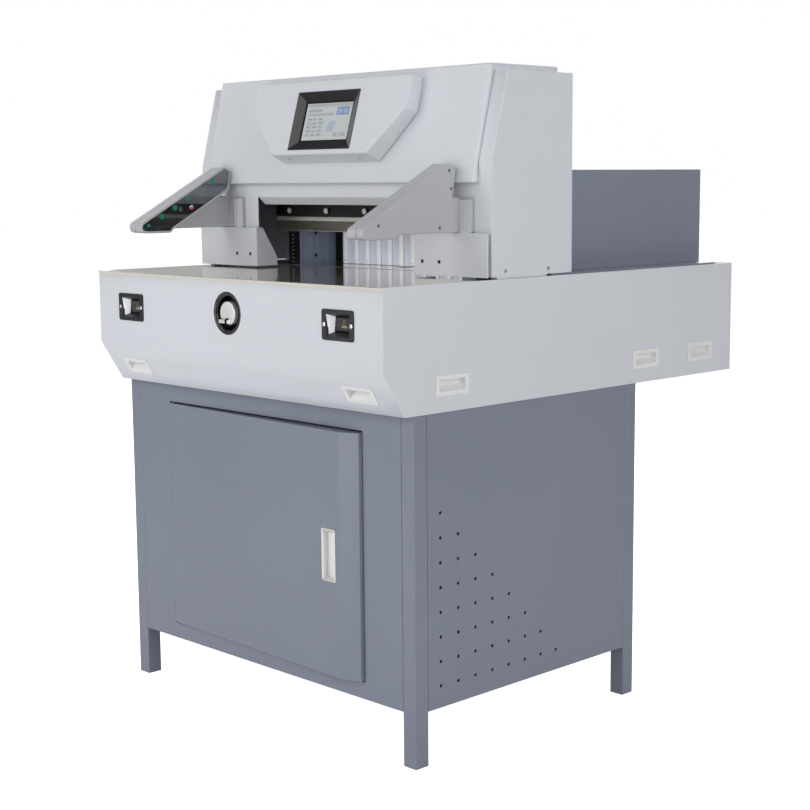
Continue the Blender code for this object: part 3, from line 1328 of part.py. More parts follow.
def build_frames():
    bottom = BASE_TOP + GAP
    half = FRAME_INNER + FRAME_WIDTH
    for side in (-1, 1):
        corners = ((FRAME_FRONT, bottom), (FRAME_REAR, FRAME_TOP))
        side_box(f"{side_name(side)}_side_frame", side, FRAME_INNER, half, *corners, BLUED_STEEL)
    low = (-half, FRAME_FRONT + BEAM_FRONT_MARGIN, FRAME_TOP + GAP)
    high = (half, FRAME_REAR - BEAM_REAR_MARGIN, FRAME_TOP + GAP + BEAM_HEIGHT)
    beam = box("cross_beam", low, high, BLACK_CASTING)
    here = Matrix.Translation((0, CLAMP_MIDDLE, FRAME_TOP + BEAM_HEIGHT / 2))
    radius = SPINDLE_RADIUS + SCREW_CLEARANCE
    cut(beam, cylinder("spindle_bore", radius, 2 * BEAM_HEIGHT, here, SPINDLE_SIDES, collection=CUTTERS))


def build_knife():
    front = CUT_Y - KNIFE_THICKNESS
    top = KNIFE_EDGE_Z + KNIFE_HEIGHT
    section = [(CUT_Y, KNIFE_EDGE_Z), (CUT_Y, top), (front, top), (front, KNIFE_EDGE_Z + KNIFE_BEVEL)]
    start = KNIFE_SHIFT - KNIFE_LENGTH / 2 - KNIFE_TAIL
    here = Matrix.Translation((start, 0, 0)) @ PLANES["YZ"].to_4x4()
    plate("knife", [section], KNIFE_LENGTH + KNIFE_TAIL, here, BRUSHED_STEEL)
    back = front - GAP
    face = back - CARRIER_THICKNESS
    bottom = KNIFE_EDGE_Z + CARRIER_ABOVE_EDGE
    low = (KNIFE_SHIFT - CARRIER_LENGTH / 2, face, bottom)
    high = (KNIFE_SHIFT + CARRIER_LENGTH / 2, back, bottom + CARRIER_HEIGHT)
    carrier = box("knife_carrier", low, high, BLACK_CASTING)
    heads = []
    for i in range(BOLT_COUNT):
        x = (i - (BOLT_COUNT - 1) / 2) * BOLT_PITCH
        heads.append(circle(x, bottom + BOLT_RISE, BOLT_RADIUS, BOLT_SIDES))
    here = facing_front(face + BOLT_HEAD)
    join(carrier, plate("carrier_bolts", heads, 2 * BOLT_HEAD, here, collection=CUTTERS))


def build_clamp():
    front = CUT_Y + CLAMP_BEHIND_CUT
    back = front + CLAMP_DEPTH
    top = CLAMP_BOTTOM + CLAMP_HEIGHT
    sole = CLAMP_BOTTOM + CLAMP_SOLE
    near = CLAMP_MIDDLE - CLAMP_WEB / 2
    far = CLAMP_MIDDLE + CLAMP_WEB / 2
    section = [(front, CLAMP_BOTTOM), (back, CLAMP_BOTTOM), (back, sole), (far, sole), (far, top)]
    section += [(near, top), (near, sole), (front, sole)]
    clamp = across("clamp_beam", [section], FRAME_INNER - GAP, BLACK_CASTING)
    root = top - CLAMP_ROOT
    here = Matrix.Translation((0, CLAMP_MIDDLE, (root + SPINDLE_TOP) / 2))
    size = (SPINDLE_RADIUS, SPINDLE_TOP - root)
    join(clamp, cylinder("clamp_spindle", *size, here, SPINDLE_SIDES, collection=CUTTERS))


def build_gauge():
    face = CUT_Y + GAUGE_FACE_SETBACK
    plate_front = face + RIB_PROUD
    plate_back = plate_front + GAUGE_PLATE
    outline = [(GAUGE_HALF, plate_back), (-GAUGE_HALF, plate_back), (-GAUGE_HALF, plate_front)]
    for i in range(RIB_COUNT):
        middle = (i - (RIB_COUNT - 1) / 2) * RIB_PITCH
        left = middle - RIB_WIDTH / 2
        right = middle + RIB_WIDTH / 2
        outline += [(left, plate_front), (left, face), (right, face), (right, plate_front)]
    outline.append((GAUGE_HALF, plate_front))
    bottom = TABLE_HEIGHT + GAUGE_FLOOR_GAP
    gauge = plate("back_gauge", [outline], GAUGE_TOP - bottom, lying(bottom), ALUMINIUM)
    overlap = GAUGE_PLATE / 2
    low = (-CARRIAGE_HALF, plate_back - overlap, bottom)
    high = (CARRIAGE_HALF, plate_back + CARRIAGE_DEPTH, bottom + CARRIAGE_HEIGHT)
    neck_front = plate_back + NECK_SETBACK
    neck_rear = neck_front + NUT_DEPTH
    neck_low = (-NECK_HALF, neck_front, WHEEL_Z)
    neck_high = (NECK_HALF, neck_rear, bottom + CARRIAGE_HEIGHT / 2)
    nut_low = (-NUT_HALF, neck_front, WHEEL_Z - NUT_HALF)
    nut_high = (NUT_HALF, neck_rear, WHEEL_Z + NUT_HALF)
    blocks = [("carriage", low, high), ("neck", neck_low, neck_high), ("nut", nut_low, nut_high)]
    for name, near, far in blocks:
        join(gauge, box(f"gauge_{name}", near, far, collection=CUTTERS))
    bore(gauge)


def build_guard():
    front = TOWER_REAR + GUARD_TOWER_GAP
    bottom = TABLE_HEIGHT + GAP
    low = (-GUARD_HALF, front, bottom)
    guard = box("rear_guard", low, (GUARD_HALF, GUARD_REAR, GUARD_TOP), SLATE_PAINT)
    inner = GUARD_HALF - SHEET
    low = (-inner, front - OVERRUN, bottom - OVERRUN)
    cut(guard, box("guard_hollow", low, (inner, GUARD_REAR - SHEET, GUARD_TOP - SHEET), collection=CUTTERS))
    for side in (-1, 1):
        corners = ((GUARD_FOOT_FRONT, bottom), (GUARD_FOOT_REAR, bottom + GUARD_FOOT_THICKNESS))
        name = f"guard_foot_{side_name(side)}"
        join(guard, side_box(name, side, inner, GUARD_FOOT_OUTER, *corners, collection=CUTTERS))


def build_motor():
    bottom = BASE_TOP + GAP
    half_width = GEARBOX_WIDTH / 2
    half_depth = GEARBOX_DEPTH / 2
    low = (MOTOR_X - half_width, MOTOR_Y - half_depth, bottom)
    high = (MOTOR_X + half_width, MOTOR_Y + half_depth, bottom + GEARBOX_HEIGHT)
    motor = box("drive_motor", low, high, BLACK_CASTING)
    middle = along_y(MOTOR_X, MOTOR_Y + MOTOR_LENGTH / 2, bottom + GEARBOX_HEIGHT / 2)
    join(motor, cylinder("motor_can", MOTOR_RADIUS, MOTOR_LENGTH, middle, MOTOR_STEPS, collection=CUTTERS))


def build_inlet():
    where = facing_rear(INLET_X, BODY_REAR, INLET_Z)
    flange = (INLET_WIDTH, INLET_HEIGHT)
    cup = (INLET_CUP_WIDTH, INLET_CUP_HEIGHT)
    rim = (PULL_RIM, INLET_FLANGE)
    inlet = flanged_block("power_inlet", where, flange, *rim, cup, INLET_CUP_DEPTH, BLACK_PLASTIC)
    half_width = SOCKET_WIDTH / 2
    half_height = SOCKET_HEIGHT / 2
    low = (-half_width, -SOCKET_DROP - half_height, INLET_FLANGE - SOCKET_DEPTH)
    high = (half_width, half_height - SOCKET_DROP, OVERRUN)
    cut(inlet, box("plug_socket", low, high, collection=CUTTERS, where=where))
    half_width = ROCKER_WIDTH / 2
    half_height = ROCKER_HEIGHT / 2
    face = INLET_FLANGE - ROCKER_SINK
    low = (-half_width - ROCKER_ROOM, ROCKER_RISE - half_height - ROCKER_ROOM, face - ROCKER_POCKET_DEPTH)
    high = (half_width + ROCKER_ROOM, ROCKER_RISE + half_height + ROCKER_ROOM, OVERRUN)
    cut(inlet, box("rocker_pocket", low, high, collection=CUTTERS, where=where))
    tilt = Matrix.Rotation(math.radians(ROCKER_TILT_DEGREES), 4, "X")
    pivot = where @ Matrix.Translation((0, ROCKER_RISE, face - ROCKER_PIVOT_DEPTH)) @ tilt
    back = ROCKER_PIVOT_DEPTH - ROCKER_DEPTH
    section = [(-half_height, back), (half_height, back), (half_height, ROCKER_PIVOT_DEPTH)]
    section += [(0, ROCKER_PIVOT_DEPTH - ROCKER_DISH), (-half_height, ROCKER_PIVOT_DEPTH)]
    here = pivot @ Matrix.Translation((-half_width, 0, 0)) @ PLANES["YZ"].to_4x4()
    rocker = plate("main_switch", [section], ROCKER_WIDTH, here, BLACK_PLASTIC)
    turn_about(rocker, pivot.translation)


build_legs()
build_cabinet_front()
build_cabinet_back()
build_cabinet_floor()
build_door()
build_apron()
build_body_rear()
build_machine_base()
build_tables()
build_handwheel()
build_fascia()
build_cover()
build_tower_rear()
build_pod()
build_frames()
build_knife()
build_clamp()
build_gauge()
build_guard()
build_motor()
build_inlet()
for hand in (-1, 1):
    build_cabinet_side(hand)
    build_body_side(hand)
    build_module(hand)
    build_tower_side(hand)
    build_table_bracket(hand)
    build_arm(hand)
CUTTERS.hide_render = True
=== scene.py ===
"""Looks of the electric paper cutter: paint, steel, plastics, screws and small fittings."""

import json
import math
from contextlib import contextmanager

import bmesh
import bpy
from bpy.props import FloatProperty, FloatVectorProperty, IntProperty, PointerProperty
from mathutils import Matrix, Vector
from mathutils.bvhtree import BVHTree

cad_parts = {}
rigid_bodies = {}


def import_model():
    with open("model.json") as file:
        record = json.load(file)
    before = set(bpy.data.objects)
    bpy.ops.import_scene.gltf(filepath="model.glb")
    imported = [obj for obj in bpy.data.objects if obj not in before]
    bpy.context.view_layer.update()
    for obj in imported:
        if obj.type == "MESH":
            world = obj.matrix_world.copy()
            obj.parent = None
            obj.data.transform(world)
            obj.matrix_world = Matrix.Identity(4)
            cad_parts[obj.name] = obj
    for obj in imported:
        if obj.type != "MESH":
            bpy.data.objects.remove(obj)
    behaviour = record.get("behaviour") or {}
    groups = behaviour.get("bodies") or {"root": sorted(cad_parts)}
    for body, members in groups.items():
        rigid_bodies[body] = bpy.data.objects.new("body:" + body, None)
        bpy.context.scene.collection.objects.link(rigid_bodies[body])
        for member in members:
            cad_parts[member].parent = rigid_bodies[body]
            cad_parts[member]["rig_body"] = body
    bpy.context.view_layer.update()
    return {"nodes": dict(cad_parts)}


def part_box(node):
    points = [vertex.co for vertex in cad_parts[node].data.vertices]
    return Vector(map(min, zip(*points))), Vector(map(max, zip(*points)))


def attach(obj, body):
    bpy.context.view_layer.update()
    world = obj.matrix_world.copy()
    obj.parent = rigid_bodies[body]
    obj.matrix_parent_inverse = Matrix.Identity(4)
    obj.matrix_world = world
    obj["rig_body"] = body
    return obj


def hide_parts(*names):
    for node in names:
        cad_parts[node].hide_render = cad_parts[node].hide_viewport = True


bl_info = {
    "name": "Electric paper cutter",
    "version": (1, 0, 0),
    "blender": (4, 5, 0),
    "location": "View3D > Sidebar > Paper cutter",
    "description": "Finishes and small fittings of a floor-standing electric paper cutter",
    "category": "Object",
}

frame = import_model()
NODES = frame["nodes"]


def node_box(name):
    """The lowest and highest corners of a CAD node, as vectors."""
    low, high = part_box(name)
    return Vector(low), Vector(high)


BODY_LOW, BODY_HIGH = node_box("body_right_panel")
TABLE_LOW, TABLE_HIGH = node_box("front_table")
TABLE_TOP = TABLE_HIGH.z
HALF_WIDTH = BODY_HIGH.x
BODY_FRONT = BODY_LOW.y

RIGHT = (1, 0, 0)
LEFT = (-1, 0, 0)
FRONT = (0, -1, 0)
REAR = (0, 1, 0)
UP = (0, 0, 1)
HANDS = (("left", -1), ("right", 1))

# How far flat trim starts off the face that carries it
TRIM_LIFT = 0.00002


# Sizes and colours that a user would change


def number(label, default, description, **more):
    return FloatProperty(name=label, description=description, default=default, min=0.0, **more)


def length(label, default, description):
    return number(label, default, description, unit="LENGTH", precision=5)


def colour(label, default, description):
    return FloatVectorProperty(
        name=label, description=description, default=default, subtype="COLOR", min=0.0, max=1.0, size=3
    )


def share(label, default, description):
    return number(label, default, description, max=1.0, subtype="FACTOR")


class PaintSettings(bpy.types.PropertyGroup):
    pale: colour("Pale paint", (0.660, 0.680, 0.725), "Body and tower")
    slate: colour("Slate paint", (0.219, 0.239, 0.306), "Cabinet and rear guard")
    arm: colour("Arm paint", (0.455, 0.462, 0.490), "Sensor arms")
    fine_bevel: length("Sheet edge", 0.0005, "Rounding of a sheet's cut edges")
    fold: length("Fold radius", 0.0022, "Rounding where a sheet is folded")
    corner: length("Corner radius", 0.0016, "Rounding of the welded vertical corners")
    cover_fold: length("Cover fold", 0.0040, "Rounding of the tower cover's and the pod's folds")
    arm_round: length("Arm edge", 0.0026, "Rounding along the arms' edges")


class ScrewSettings(bpy.types.PropertyGroup):
    head: length("Head radius", 0.0036, "Pan head of the panel screws")
    rise: length("Head height", 0.0019, "How far a panel screw stands proud")
    drive: length("Drive width", 0.0009, "Width of the cross slot")
    socket: length("Socket width", 0.0023, "Half width of the hexagon socket")


class ModuleSettings(bpy.types.PropertyGroup):
    screw_head: length("Module screw radius", 0.0040, "Screws beside the cutting buttons")
    screw_rise: length("Module screw height", 0.0016, "Dome of those screws")
    icon_width: length("Symbol width", 0.0150, "Width of the symbol on a button")
    icon_line: length("Symbol line", 0.0008, "Line width of the symbol")
    icon_lift: length("Symbol lift", 0.00012, "How far the symbol's paint stands proud")
    facet: length("Facet lift", 0.0004, "Thickness of the bright facet inside the scoop")


class ScreenSettings(bpy.types.PropertyGroup):
    page: colour("Page", (0.385, 0.405, 0.405), "Ground of the screen's picture")
    glow: share("Glow", 0.42, "How strongly the picture shines")
    inset: length("Picture inset", 0.0035, "Dark border around the picture")
    layer: length("Layer", 0.0001, "Step between the picture's layers")


class SensorSettings(bpy.types.PropertyGroup):
    lens: length("Lens radius", 0.0063, "Light-barrier lenses in the arms")
    small_lens: share("Small lens", 0.70, "Size of the lens nearest the nose against the others")
    dome: length("Lens rise", 0.0005, "Dome of a lens")
    pane: length("Pane thickness", 0.0008, "Glossy pane in an arm's window")
    corner: length("Arm corner", 0.0095, "Rounding of the corners of the arms' outline")
    lamp: length("Lamp radius", 0.0052, "Rim of the indicator lamp")


class WheelSettings(bpy.types.PropertyGroup):
    rim: length("Wheel edge", 0.0022, "Rounding of the handwheel's edge")
    steps: IntProperty(name="Turn steps", description="Faces round the wheel", default=72, min=12, max=256)
    joint: length("Crank joint", 0.0016, "Length of the dark collar on the crank")


class StudioSettings(bpy.types.PropertyGroup):
    floor: colour("Floor", (0.905, 0.905, 0.905), "Plain pale floor")
    floor_glow: number("Floor glow", 0.97, "Lift of the floor's tone")
    horizon: number("Horizon", 0.34, "Extra light low in the sky")
    world: number("Sky", 0.09, "Strength of the even light")
    key: number("Key light", 43.5, "Power of the main softbox")
    low: number("Low light", 14.0, "Power of the softbox low in front")
    fill: number("Fill light", 57.0, "Power of the softbox at the side")
    front: number("Front light", 16.0, "Power of the softbox ahead on the right")
    rear: number("Rear light", 70.0, "Power of the softbox behind")
    left: number("Left light", 36.0, "Power of the softbox at the left")
    top: number("Top light", 28.0, "Power of the softbox overhead")
    lens: number("Lens", 71.2, "Camera's focal length in mm on a 36 mm frame")


GROUPS = {
    "cutter_paint": PaintSettings,
    "cutter_screws": ScrewSettings,
    "cutter_modules": ModuleSettings,
    "cutter_screen": ScreenSettings,
    "cutter_sensors": SensorSettings,
    "cutter_wheel": WheelSettings,
    "cutter_studio": StudioSettings,
}


def settings(name):
    return getattr(bpy.context.scene, f"cutter_{name}")


# Node trees


class Graph:
    """A node tree, with short ways to add to it."""

    def __init__(self, tree):
        self.tree = tree

    def feed(self, socket, value):
        """Sets a socket's number, or links it from one output or a list of them."""
        for source in value if isinstance(value, list) else [value]:
            if isinstance(source, bpy.types.NodeSocket):
                self.tree.links.new(source, socket)
            else:
                socket.default_value = source

    def node(self, kind, sockets=None, take=0, **fields):
        """Adds a node, sets its fields and feeds its sockets. Gives the output to take."""
        made = self.tree.nodes.new(kind)
        for field, value in fields.items():
            setattr(made, field, value)
        for label, value in (sockets or {}).items():
            self.feed(made.inputs[label], value)
        return made.outputs[take]

    def sum(self, operation, first, second):
        return self.node("ShaderNodeMath", {0: first, 1: second}, operation=operation)

    def plus(self, first, second):
        return self.sum("ADD", first, second)

    def minus(self, first, second):
        return self.sum("SUBTRACT", first, second)

    def times(self, first, second):
        return self.sum("MULTIPLY", first, second)

    def over(self, first, second):
        return self.sum("DIVIDE", first, second)

    def vector(self, x, y, z):
        return self.node("ShaderNodeCombineXYZ", {0: x, 1: y, 2: z})

    def noise(self, where, scale, detail, **more):
        return self.node("ShaderNodeTexNoise", {"Vector": where, "Scale": scale, "Detail": detail, **more})

    def raised(self, piece, height):
        where = self.vector(0.0, 0.0, height)
        return self.node("GeometryNodeTransform", {"Geometry": piece, "Translation": where})

    def cut(self, piece, tools):
        pieces = {"Mesh 1": piece, "Mesh 2": tools}
        return self.node("GeometryNodeMeshBoolean", pieces, operation="DIFFERENCE", solver="EXACT")


def new_group(name, kind, inputs, outputs):
    """A node group with named sockets. A default tells its socket's type, or is a type's name itself."""
    tree = bpy.data.node_groups.new(name, kind)
    for label, default in inputs.items():
        named = isinstance(default, str)
        size = len(default) if isinstance(default, tuple) else 1
        socket = default if named else {1: "Float", 3: "Vector", 4: "Color"}[size]
        made = tree.interface.new_socket(label, in_out="INPUT", socket_type=f"NodeSocket{socket}")
        if not named:
            made.default_value = default
    for label, socket in outputs.items():
        tree.interface.new_socket(label, in_out="OUTPUT", socket_type=f"NodeSocket{socket}")
    graph = Graph(tree)
    graph.given = tree.nodes.new("NodeGroupInput").outputs
    graph.result = tree.nodes.new("NodeGroupOutput").inputs
    return graph


def built_once(label):
    """Marks the maker of a node group that is built at its first use and found by its label after that."""
    def mark(build):
        return lambda: bpy.data.node_groups.get(label) or build(label)
    return mark


# Effects that finishes share


def effect_group(label, sizes):
    """The start of an effect: its colour and sizes, and the place on the object."""
    inputs = {"Colour": (0.6, 0.6, 0.6, 1), **sizes}
    outputs = {"Colour": "Color", "Roughness": "Float", "Height": "Float"}
    graph = new_group(label, "ShaderNodeTree", inputs, outputs)
    return graph, graph.node("ShaderNodeTexCoord", take="Object")


def end_effect(graph, pattern, rough, height):
    """The end of an effect: a pattern shifts the tone, and another the roughness."""
    shift = graph.plus(graph.times(pattern, graph.given["Tone"]), 1.0)
    grey = graph.node("ShaderNodeCombineColor", {"Red": shift, "Green": shift, "Blue": shift})
    tints = {"Factor": 1.0, "A": graph.given["Colour"], "B": grey}
    tinted = graph.node("ShaderNodeMix", tints, "Result", data_type="RGBA", blend_type="MULTIPLY")
    results = {"Colour": tinted, "Roughness": graph.plus(rough, graph.given["Roughness"]), "Height": height}
    for label, value in results.items():
        graph.feed(graph.result[label], value)
    return graph.tree


@built_once("Powder coat")
def powder_coat(label):
    """Slow unevenness of the tone, orange peel, and a roughness that wanders a little."""
    graph, where = effect_group(label, {"Tone": 0.05, "Peel scale": 900.0, "Roughness": 0.4})
    slow = graph.noise(where, 2.2, 3.0)
    fine = graph.noise(where, 260.0, 2.0)
    peel = graph.noise(where, graph.given["Peel scale"], 1.5)
    speckle = 0.45
    pattern = graph.minus(graph.plus(slow, graph.times(fine, speckle)), (1 + speckle) / 2)
    return end_effect(graph, pattern, graph.times(graph.minus(slow, 0.5), 0.16), peel)


@built_once("Grinding lines")
def grinding_lines(label):
    """Fine lines along one direction, with slow streaks and a few marks."""
    sizes = {"Stretch": (1.0, 40.0, 40.0), "Roughness": 0.2, "Spread": 0.1, "Tone": 0.1}
    graph, where = effect_group(label, sizes)
    drawn = graph.node("ShaderNodeVectorMath", {0: where, 1: graph.given["Stretch"]}, operation="MULTIPLY")
    lines = graph.noise(drawn, 14.0, 5.0)
    mixed = graph.plus(graph.minus(lines, 0.5), graph.minus(graph.noise(where, 7.0, 2.0), 0.5))
    return end_effect(graph, mixed, graph.times(mixed, graph.given["Spread"]), lines)


@built_once("Moulded surface")
def moulded_surface(label):
    """Eroded grain, faint flow marks and dust in the gloss."""
    sizes = {"Grain scale": 1400.0, "Roughness": 0.4, "Spread": 0.12, "Tone": 0.06}
    graph, where = effect_group(label, sizes)
    grain = graph.node("ShaderNodeTexVoronoi", {"Vector": where, "Scale": graph.given["Grain scale"]})
    drift = graph.minus(graph.noise(where, 24.0, 3.0, Distortion=0.6), 0.5)
    return end_effect(graph, drift, graph.times(drift, graph.given["Spread"]), grain)


def finish(name, group, values, bump, bump_distance, **shader_values):
    """A Principled material whose colour, roughness and relief come from one of the effects above."""
    known = bpy.data.materials.get(name)
    if known:
        return known
    made = bpy.data.materials.new(name)
    made.use_nodes = True
    graph = Graph(made.node_tree)
    shader = made.node_tree.nodes["Principled BSDF"].inputs
    for label, value in shader_values.items():
        shader[label.replace("_", " ")].default_value = value
    effect = made.node_tree.nodes.new("ShaderNodeGroup")
    effect.node_tree = group
    for label, value in values.items():
        effect.inputs[label].default_value = (*value, 1.0) if label == "Colour" else value
    graph.feed(shader["Base Color"], effect.outputs["Colour"])
    graph.feed(shader["Roughness"], effect.outputs["Roughness"])
    if bump:
        relief = {"Strength": bump, "Distance": bump_distance, "Height": effect.outputs["Height"]}
        graph.feed(shader["Normal"], graph.node("ShaderNodeBump", relief))
    return made


# How high the relief of each effect stands
PEEL_RELIEF = 0.0002
LINE_RELIEF = 0.00005
GRAIN_RELIEF = 0.00008
# What sets a powder coat apart from the pale one
OTHER_COATS = {
    "slate": {"Tone": 0.16, "Roughness": 0.36},
    "arm": {"Tone": 0.05, "Roughness": 0.42, "Peel scale": 900.0},
}


def paint(which):
    values = {"Tone": 0.06, "Peel scale": 620.0, "Roughness": 0.40, **OTHER_COATS.get(which, {})}
    values["Colour"] = tuple(getattr(settings("paint"), which))
    return finish(f"{which}_powder_coat", powder_coat(), values, 0.14, PEEL_RELIEF, IOR=1.5)


def steel(name, tint, roughness, stretch, spread=0.12, tone=0.12, bump=0.05, metallic=1.0):
    values = {"Colour": tint, "Stretch": stretch, "Roughness": roughness, "Spread": spread, "Tone": tone}
    return finish(name, grinding_lines(), values, bump, LINE_RELIEF, Metallic=metallic)


def plastic(name, tint, roughness, grain=1400.0, bump=0.08, tone=0.06, spread=0.12, **shader_values):
    values = {"Colour": tint, "Grain scale": grain, "Roughness": roughness, "Spread": spread, "Tone": tone}
    return finish(name, moulded_surface(), values, bump, GRAIN_RELIEF, **shader_values)


# Emission that paints light: it makes a part glow though it is no lamp
def painted_glow(tint, strength):
    return {"Emission_Color": (*tint, 1.0), "Emission_Strength": strength}


def turned_steel(name, tint, roughness):
    """Small turned parts, such as screws, whose grain runs no one way."""
    return steel(name, tint, roughness, (20.0, 20.0, 20.0), 0.08, 0.06, 0.02)


def chrome():
    return steel("bright_chrome", (0.80, 0.80, 0.79), 0.09, (30.0, 30.0, 30.0), 0.05, 0.04, 0.02)


def black_enamel():
    return plastic("black_machine_enamel", (0.012, 0.012, 0.014), 0.34, 500.0, 0.10, 0.3)


def black_screw():
    return steel("blackened_screw", (0.016, 0.016, 0.018), 0.40, (20.0, 20.0, 20.0), 0.1, 0.1, 0.03, 0.6)


# Meshes


@contextmanager
def edited(mesh):
    """A bmesh of a mesh, written back to it at the end."""
    bm = bmesh.new()
    bm.from_mesh(mesh)
    yield bm
    bm.to_mesh(mesh)
    bm.free()


def free_mesh(name):
    """A clean copy of a CAD node's mesh: doubles merged and flat regions joined up."""
    mesh = bpy.data.meshes.new(name)
    with edited(mesh) as bm:
        bm.from_mesh(NODES[name].data)
        bmesh.ops.remove_doubles(bm, verts=bm.verts, dist=1e-5)
        flat = math.radians(0.6)
        bmesh.ops.dissolve_limit(
            bm, angle_limit=flat, use_dissolve_boundaries=False, verts=bm.verts, edges=bm.edges
        )
    for stale in ("custom_normal", "sharp_face", "sharp_edge"):
        if stale in mesh.attributes:
            mesh.attributes.remove(mesh.attributes[stale])
    mesh.materials.clear()
    return mesh


def new_object(name, mesh):
    made = bpy.data.objects.new(name, mesh)
    bpy.context.scene.collection.objects.link(made)
    return made


def baked(obj):
    """Turns an object's modifiers into its mesh."""
    graph = bpy.context.evaluated_depsgraph_get()
    mesh = bpy.data.meshes.new_from_object(obj.evaluated_get(graph))
    mesh.name = obj.name
    obj.modifiers.clear()
    obj.data = mesh
    return obj


# The bevel's full width, of which each edge takes its share
WIDEST_ROUNDING = 0.010
# Edges that bend less than the first are left alone, and up to the second they are steps of a curve
FLAT_ENOUGH = math.radians(4)
CURVE_STEP = math.radians(33)
# A face takes a broad rounding when it is so many times deeper, and is a flat when it is so deep
BROAD_ROOM = 3.2
FLAT_DEPTH = 0.006


def rounding_of(edge, fine, broad, rule):
    """How far an edge is rounded, in metres. A rule's answer comes first."""
    angle = edge.calc_face_angle(0.0) if len(edge.link_faces) == 2 else 0.0
    if angle < FLAT_ENOUGH:
        return 0.0
    own = rule(edge) if rule else None
    if own is not None:
        return own
    run = max(edge.calc_length(), 1e-6)
    depth = min(face.calc_area() / run for face in edge.link_faces)
    if depth > BROAD_ROOM * broad and edge.is_convex:
        return broad
    if angle > CURVE_STEP:
        return min(fine, depth / 3)
    if depth > FLAT_DEPTH:
        edge.smooth = False
    return 0.0


def rounded(obj, fine, broad, segments=3, rule=None):
    """Rounds the edges of an object and keeps its flat faces flat."""
    with edited(obj.data) as bm:
        weights = bm.edges.layers.float
        layer = weights.get("bevel_weight_edge") or weights.new("bevel_weight_edge")
        for edge in bm.edges:
            edge[layer] = rounding_of(edge, fine, broad, rule) / WIDEST_ROUNDING
        ngons = [face for face in bm.faces if len(face.verts) > 4]
        bmesh.ops.triangulate(bm, faces=ngons, quad_method="BEAUTY", ngon_method="BEAUTY")
    obj.data.shade_smooth()
    bevel = obj.modifiers.new("rounding", "BEVEL")
    bevel.limit_method = "WEIGHT"
    bevel.width = WIDEST_ROUNDING
    bevel.segments = segments
    bevel.profile = 0.5
    bevel.use_clamp_overlap = False
    bevel.loop_slide = False
    bevel.miter_outer = "MITER_SHARP"
    normals = obj.modifiers.new("flat faces", "WEIGHTED_NORMAL")
    normals.mode = "FACE_AREA"
    normals.keep_sharp = True
    normals.weight = 50
    return baked(obj)


def dressed(obj, material, body, slot, *replaced):
    """Gives a piece its finish, its body and the nodes that it stands for. The slot is not used."""
    obj.data.materials.clear()
    obj.data.materials.append(material)
    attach(obj, body)
    if replaced:
        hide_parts(*replaced)
    return obj


def skin(name, material, slot, fine=None, broad=None, segments=3, rule=None):
    """A CAD node's own shape with rounded edges and a real finish, in the node's place."""
    sizes = settings("paint")
    made = new_object(f"{name}_finished", free_mesh(name))
    fine = sizes.fine_bevel if fine is None else fine
    broad = sizes.fold if broad is None else broad
    rounded(made, fine, broad, segments, rule)
    return dressed(made, material, NODES[name]["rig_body"], slot, name)


# How far behind the front edge a body's corner seam is still rounded
CORNER_REACH = 0.085


def welded_sheets(main, sides, material, slot):
    """Sheets welded and painted over as one: they meet flush, and only their outer corners are rounded."""
    sizes = settings("paint")
    ahead = min(v.co.y for v in NODES[sides[0]].data.vertices) + 1e-4
    seam = min(abs(v.co.x) for v in NODES[sides[0]].data.vertices if v.co.y < ahead)
    made = new_object(f"{main}_finished", free_mesh(main))
    reach = max(v.co.x for v in made.data.vertices)
    for vertex in made.data.vertices:
        if abs(abs(vertex.co.x) - reach) < 1e-5:
            vertex.co.x = math.copysign(seam, vertex.co.x)

    def at_the_end(edge):
        return 0.0 if all(abs(v.co.x) > seam - 1e-5 for v in edge.verts) else None

    rounded(made, sizes.fine_bevel, sizes.fold, rule=at_the_end)
    dressed(made, material, NODES[main]["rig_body"], slot, main)
    for side in sides:
        front = min(v.co.y for v in NODES[side].data.vertices)

        def on_the_corner(edge, front=front):
            if all(abs(v.co.x) < seam + 1e-5 for v in edge.verts):
                return 0.0
            faces_ahead = min(face.normal.y for face in edge.link_faces) < -0.5
            near = all(v.co.y < front + CORNER_REACH for v in edge.verts)
            outside = all(abs(v.co.x) > HALF_WIDTH - 1e-5 for v in edge.verts)
            return sizes.corner if faces_ahead and near and outside else None

        skin(side, material, slot, broad=sizes.corner, rule=on_the_corner)


def closed_mesh(name, points, faces, merged=False):
    """A mesh whose faces all point outwards."""
    mesh = bpy.data.meshes.new(name)
    mesh.from_pydata([tuple(point) for point in points], [], faces)
    with edited(mesh) as bm:
        if merged:
            bmesh.ops.remove_doubles(bm, verts=bm.verts, dist=1e-6)
            bmesh.ops.dissolve_degenerate(bm, edges=bm.edges, dist=1e-7)
        bmesh.ops.recalc_face_normals(bm, faces=bm.faces)
    return mesh


def mesh_object(name, points, faces, material, slot, body="machine"):
    return dressed(new_object(name, closed_mesh(name, points, faces)), material, body, slot)


def slab(ring, lift):
    """Points and faces of a flat closed outline with a thickness."""
    count = len(ring)
    points = [*ring, *(point + lift for point in ring)]
    faces = [list(range(count - 1, -1, -1)), list(range(count, 2 * count))]
    for i in range(count):
        after = (i + 1) % count
        faces.append((i, after, count + after, count + i))
    return points, faces


def plates(name, shapes, material, slot, body="machine"):
    """One object of several flat shapes, each (outline, frame, thickness)."""
    points = []
    faces = []
    for outline, where, thickness in shapes:
        ring = [where @ Vector((u, v, 0)) for u, v in outline]
        more_points, more_faces = slab(ring, where.to_3x3().col[2] * thickness)
        faces += [[i + len(points) for i in face] for face in more_faces]
        points += more_points
    return mesh_object(name, points, faces, material, slot, body)


def rectangle(u0, v0, u1, v1):
    return [(u0, v0), (u1, v0), (u1, v1), (u0, v1)]


def oblong(half_u, half_v):
    return rectangle(-half_u, -half_v, half_u, half_v)


